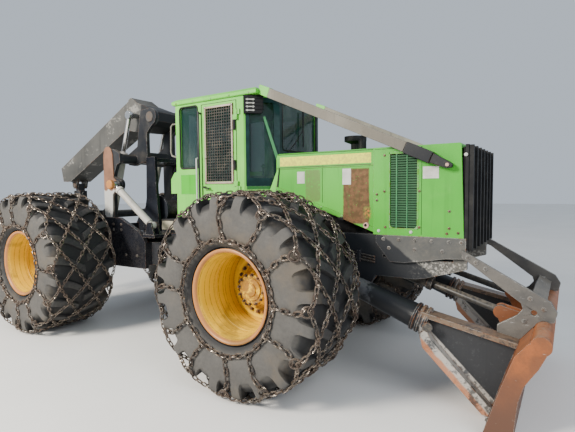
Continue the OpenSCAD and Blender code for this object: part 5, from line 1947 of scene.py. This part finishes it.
    def roof(self) -> None:
        """Adds the roof's bolts and a wiper."""
        spots = [on_right(x, 0.776, 3.13) for x in (-1.7, -1.4, -1.1, -0.8, -0.5)]
        REPEATS.bolts("roof_bolts", FRONT, paired(spots), 0.008, "cab_green")
        wiper = Shape()
        wiper.tube([front(-0.262, -0.3, 2.46), front(-0.255, -0.1, 2.62), front(-0.258, 0.06, 2.78)],
                   0.006, 6)
        wiper.box(front(-0.264, 0.045, 2.55), front(-0.254, 0.065, 3.0))
        wiper.piece("wiper", "gasket", "black_plastic")

    def seat(self) -> None:
        """Builds the seat's pads and its rigid stand in place of the CAD seat."""
        floor_z = self.floor_z
        stand = Shape().box(front(-1.42, -0.15, floor_z + 0.001), front(-1.12, 0.15, floor_z + 0.26))
        for s in (-1.0, 1.0):
            stand.box(front(-1.45, s * 0.262, floor_z + 0.002), front(-1.03, s * 0.352, floor_z + 0.5))
        stand.piece("seat_stand", "plastic", "seat_cloth", 0.006, instead="seat")
        pads = {
            "seat_cushion": [(-1.24, 0.0, floor_z + 0.32), (0.255, 0.255, 0.058)],
            "seat_back": [(-1.475, 0.0, floor_z + 0.72), (0.052, 0.235, 0.325)],
            "arm_pads": [(-1.24, 0.307, floor_z + 0.532), (0.205, 0.043, 0.027)],
        }
        for name, (centre, half_size) in pads.items():
            work = bmesh.new()
            bmesh.ops.create_cube(work, size=2.0)
            bmesh.ops.subdivide_edges(work, edges=work.edges, cuts=9, use_grid_fill=True)
            for vert in work.verts:
                c = vert.co.copy()
                pull = 1.0 - 0.1 * (abs(c.x * c.y) ** 3 + abs(c.y * c.z) ** 3 + abs(c.x * c.z) ** 3)
                crown = 0.86 + 0.14 * (1 - c.x**2) * (1 - c.y**2) if abs(c.z) > 0.99 else 1.0
                seam = 0.965 if abs(abs(c.y) - 0.55) < 0.06 and abs(c.z) > 0.9 else 1.0
                rounded = Vector((c.x * pull, c.y * pull, c.z * pull * crown * seam))
                vert.co = Vector(front(*centre)) + rounded * Vector(half_size)
            if name == "arm_pads":
                twin = bmesh.ops.duplicate(work, geom=work.verts[:] + work.edges[:] + work.faces[:])
                for item in twin["geom"]:
                    if isinstance(item, bmesh.types.BMVert):
                        item.co.y = -item.co.y
            bmesh.ops.recalc_face_normals(work, faces=work.faces)
            mesh = bpy.data.meshes.new(name)
            work.to_mesh(mesh)
            work.free()
            made = place(smoothed(mesh, 60.0), name, "cloth", "")
            rounder = made.modifiers.new("rounder", "SUBSURF")
            rounder.levels = rounder.render_levels = 1
            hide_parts("seat")

    def build(self) -> None:
        """Builds the pieces of the cab."""
        self.gaskets()
        self.door_guards()
        self.rails()
        self.borders()
        self.risers()
        self.lamps()
        self.roof()
        self.seat()


@dataclass
class Blade:
    """Blade, its push arms and guard plates: pin caps and bolts."""

    arm_y: float = 0.725

    def build(self) -> None:
        """Builds the pieces of the blade."""
        spots = [(front(2.132, -1.05 + 0.21 * k, 0.095), (-0.96, 0.0, 0.28)) for k in range(11)]
        REPEATS.bolts("edge_bolts", "blade", spots, 0.015)
        pins = Shape()
        for x, z, y, r in ((0.6, 1.08, self.arm_y + 0.06, 0.062),
                           (1.6, 0.73, self.arm_y + 0.15, 0.045)):
            pins.cap(front(x, y - 0.001, z), LEFTWARD, r, 0.016)
        pins.mirrored().piece("arm_pin_caps", "black", "arm_steel", body="blade")
        places = ((1.9, 1.37), (1.97, 1.33), (2.05, 1.28), (2.4, 1.06), (2.5, 0.98), (2.36, 0.86))
        REPEATS.bolts("guard_bolts", "blade", paired([on_right(x, 0.697, z) for x, z in places]), 0.014)


@dataclass
class Chassis:
    """Front frame: steel lines with clamps, and bolts. Rear frame: bolts, winch rope and a blank plate."""

    half: float = 0.58
    rope_turns: int = 24
    drum: Pair = (1.07, 1.7)
    drum_radius: float = 0.134
    drum_width: float = 0.38
    rope_radius: float = 0.0095

    def lines(self) -> None:
        """Adds the clamped steel lines along the front frame."""
        line = Shape()
        path = ((0.98, 1.24), (0.55, 1.3), (0.1, 1.42), (-0.5, 1.42), (-0.62, 1.34), (-1.02, 1.3))
        for rise in (0.0, 0.028, 0.056):
            line.tube([front(x, self.half + 0.012, z + rise) for x, z in path], 0.009, 8)
        line.mirrored().piece("front_steel_lines", "black", "frame_black")
        clamp = Shape()
        for x, z in ((0.8, 1.265), (0.32, 1.365), (-0.2, 1.42), (-0.8, 1.32)):
            clamp.box(front(x - 0.02, self.half, z - 0.03), front(x + 0.02, self.half + 0.026, z + 0.09))
        clamp.mirrored().piece("line_clamps", "grey", "frame_grey", 0.003)

    def fasteners(self) -> None:
        """Sets the bolts of both frames."""
        spots = [on_right(x, 0.621, 1.49) for x in (1.08, 1.24, 1.4, 1.56, 1.72, 1.83)]
        spots += [on_right(x, 0.621, 1.4) for x in (1.14, 1.4, 1.66)]
        spots += [on_right(x, 0.581, z) for x in (-0.52, -0.66, -0.8) for z in (1.47, 1.4)]
        REPEATS.bolts("frame_bolts", FRONT, paired(spots), 0.013)
        places = [(x, z) for x in (-0.3, -0.1, 0.1, 0.62, 0.8) for z in (1.5, 1.42)]
        places += [(x, 1.05) for x in (-0.48, -0.38, 0.4, 0.6, 0.9, 1.15)]
        spots = [(rear(x, -0.701, z), RIGHTWARD) for x, z in places]
        REPEATS.bolts("rear_frame_bolts", REAR, paired(spots), 0.015)

    def winch(self) -> None:
        """Winds the rope on the winch drum."""
        count = self.rope_turns * 16
        x, z = self.drum
        path = []
        for k in range(count + 1):
            angle = 2 * math.pi * k / 16
            path.append(rear(x + self.drum_radius * math.cos(angle), self.drum_width * (k / count - 0.5),
                             z + self.drum_radius * math.sin(angle)))
        Shape().tube(path, self.rope_radius, 6).piece("winch_rope", "chain", "frame_black", body=REAR)

    def plate(self) -> None:
        """Adds the blank plate on the service box."""
        cover = Shape()
        cover.box(rear(1.3, -0.352, 1.42), rear(1.62, -0.349, 1.55))
        cover.piece("box_plate", "cream", "frame_grey", 0.002, REAR)

    def build(self) -> None:
        """Builds the pieces of both frames."""
        self.lines()
        self.fasteners()
        self.winch()
        self.plate()


@dataclass
class ArchAndBoom:
    """Arch and boom: their pin caps, and the arch's yellow knobs."""

    arch_half: float = 0.62

    def caps(self) -> None:
        """Builds the pin caps of the arch and the boom."""
        groups: dict[str, list[tuple[float, float, float, float]]] = {
            "arch": [(0.43, 1.44, self.arch_half, 0.07), (1.01, 3.14, 0.29, 0.08)],
            "boom": [(-1.35, 2.12, 0.11, 0.05)],
        }
        for body, pins in groups.items():
            shape = Shape()
            for x, z, y, r in pins:
                shape.cap(rear(x, y - 0.001, z), LEFTWARD, r, 0.018)
            shape.mirrored().piece(body + "_pin_caps", "bolt", "frame_black", body=body)

    def knobs(self) -> None:
        """Adds the yellow caps where the arch cylinders meet the arch."""
        knob = Shape()
        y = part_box("arch_rods")[1].y + 0.001
        knob.spin([(AXIS, 0.0), (0.066, 0.0), (0.07, 0.012), (0.07, 0.05), (0.056, 0.062), (AXIS, 0.064)],
                  rear(0.69, y, 2.1), LEFTWARD, 28)
        knob.mirrored().piece("arch_knobs", "yellow", "rim_yellow", 0.003, "arch")

    def build(self) -> None:
        """Builds the pieces of the arch and the boom."""
        self.caps()
        self.knobs()


@dataclass
class Solids:
    """Finishes of the CAD solids that stay, with softened edges."""

    finishes: dict[str, Sequence[str]] = field(default_factory=lambda: {
        "grey": ("front_chassis", "service_box"),
        "oily": ("rear_chassis", "winch_tower"),
        "black": ("engine_block", "front_axle", "rear_axle", "steps_rails", "arch_frame",
                  "blade_barrels", "steer_barrel_right", "steer_barrel_left", "crosshead", "rotator",
                  "grapple_head", "tong_right", "tong_left", "blade_rods"),
        "hood": ("hood",),
        "green": ("radiator_housing",),
        "cab_green": ("cab_shell", "cab_roof", "door_right", "door_left"),
        "plastic": ("front_grille", "console", "intake_stack"),
        "glass": ("cab_glass", "door_glass_right", "door_glass_left"),
        "yellow": ("rim_front_right", "rim_front_left", "rim_rear_right", "rim_rear_left"),
        "blade": ("blade_board",),
        "arm": ("push_arms",),
        "plate": ("guard_plates",),
        "chrome": ("steer_rod_right", "steer_rod_left", "arch_rods", "boom_rods"),
        "silver": ("arch_barrels", "boom_barrels"),
        "tan": ("arch_guards",),
        "boom": ("boom",),
    })
    sharp: tuple[str, ...] = ("cab_glass", "door_glass_right", "door_glass_left")
    weld_reach: float = 0.0002
    edge_width: float = 0.004

    def build(self) -> None:
        """Dresses each solid."""
        for finish, names in self.finishes.items():
            for name in names:
                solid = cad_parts[name]
                solid.data.materials.clear()
                solid.data.materials.append(FINISH[finish])
                if name not in self.sharp:
                    weld = solid.modifiers.new("weld", "WELD")
                    weld.merge_threshold = self.weld_reach
                    soften(solid, self.edge_width)
                log.info("solid %s is %s", name, finish)


@dataclass
class Stage:
    """Floor, light and camera."""

    eye: Place = (4.076, -4.849, 1.986)
    yaw: float = 32.91
    pitch: float = -3.32
    roll: float = -0.51
    lens: float = 27.34
    sensor: float = 36.0
    floor_half: float = 60.0

    def camera(self) -> None:
        """Places the camera at the photograph's angle."""
        yaw, pitch, roll = (math.radians(a) for a in (self.yaw, self.pitch, self.roll))
        ahead = Vector((-math.sin(yaw) * math.cos(pitch), math.cos(yaw) * math.cos(pitch), math.sin(pitch)))
        level = Vector((math.cos(yaw), math.sin(yaw), 0.0))
        top = level.cross(ahead)
        right = math.cos(roll) * level + math.sin(roll) * top
        up = right.cross(ahead)
        turn = Matrix((right, up, -ahead)).transposed().to_4x4()
        data = bpy.data.cameras.new("camera")
        data.lens = self.lens
        data.sensor_width = self.sensor
        camera = bpy.data.objects.new("camera", data)
        camera.matrix_world = Matrix.Translation(Vector(self.eye)) @ turn
        bpy.context.scene.collection.objects.link(camera)
        bpy.context.scene.camera = camera

    def floor(self) -> None:
        """Lays the plain pale floor."""
        s = Shader("pale_floor")
        tone = s.noise(0.6, 3.0)
        colour = s.mix(tone.ramp(0.3, 0.7), (0.8, 0.785, 0.76), (0.84, 0.825, 0.8))
        material = s.finish(Base_Color=colour, Roughness=0.9)
        mesh = bpy.data.meshes.new("floor")
        size = self.floor_half
        mesh.from_pydata([(-size, -size, 0), (size, -size, 0), (size, size, 0), (-size, size, 0)], [],
                         [(0, 1, 2, 3)])
        mesh.materials.append(material)
        ground = bpy.data.objects.new("floor", mesh)
        bpy.context.scene.collection.objects.link(ground)

    def lights(self) -> None:
        """Hangs the soft lights and a pale surround."""
        world = bpy.data.worlds.new("surround")
        world.use_nodes = True
        sky = world.node_tree.nodes["Background"]
        sky.inputs[0].default_value = (0.78, 0.88, 1.0, 1.0)
        sky.inputs[1].default_value = 0.7
        bpy.context.scene.world = world
        for name, spot, aim, size, power, tint in (
            ("key", (-3.5, -11.0, 7.5), (0.5, 0.0, 1.5), 3.2, 3300.0, (1.0, 0.94, 0.84)),
            ("fill", (9.0, -4.0, 6.0), (0.0, 0.0, 1.2), 6.0, 450.0, (0.92, 0.96, 1.0)),
        ):
            data = bpy.data.lights.new(name, "AREA")
            data.size = size
            data.energy = power
            data.color = tint
            lamp = bpy.data.objects.new(name, data)
            lamp.location = spot
            lamp.rotation_euler = (Vector(aim) - Vector(spot)).to_track_quat("-Z", "Y").to_euler()
            bpy.context.scene.collection.objects.link(lamp)

    def build(self) -> None:
        """Sets the stage."""
        self.camera()
        self.floor()
        self.lights()


REPEATS = Repeats()


def main() -> None:
    """Builds the sub-assemblies in order."""
    logging.basicConfig(level=logging.INFO, format="%(message)s")
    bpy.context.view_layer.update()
    FINISH.build()
    Stage().build()
    Solids().build()
    for end in ("front", "rear"):
        for side in Side:
            name = f"{end}_{side.name.lower()}"
            Wheel(name, side, middle("tyre_" + name)).build()
    for assembly in (FrontBody(), Cab(), Blade(), Chassis(), ArchAndBoom()):
        assembly.build()


if __name__ == "__main__":
    main()
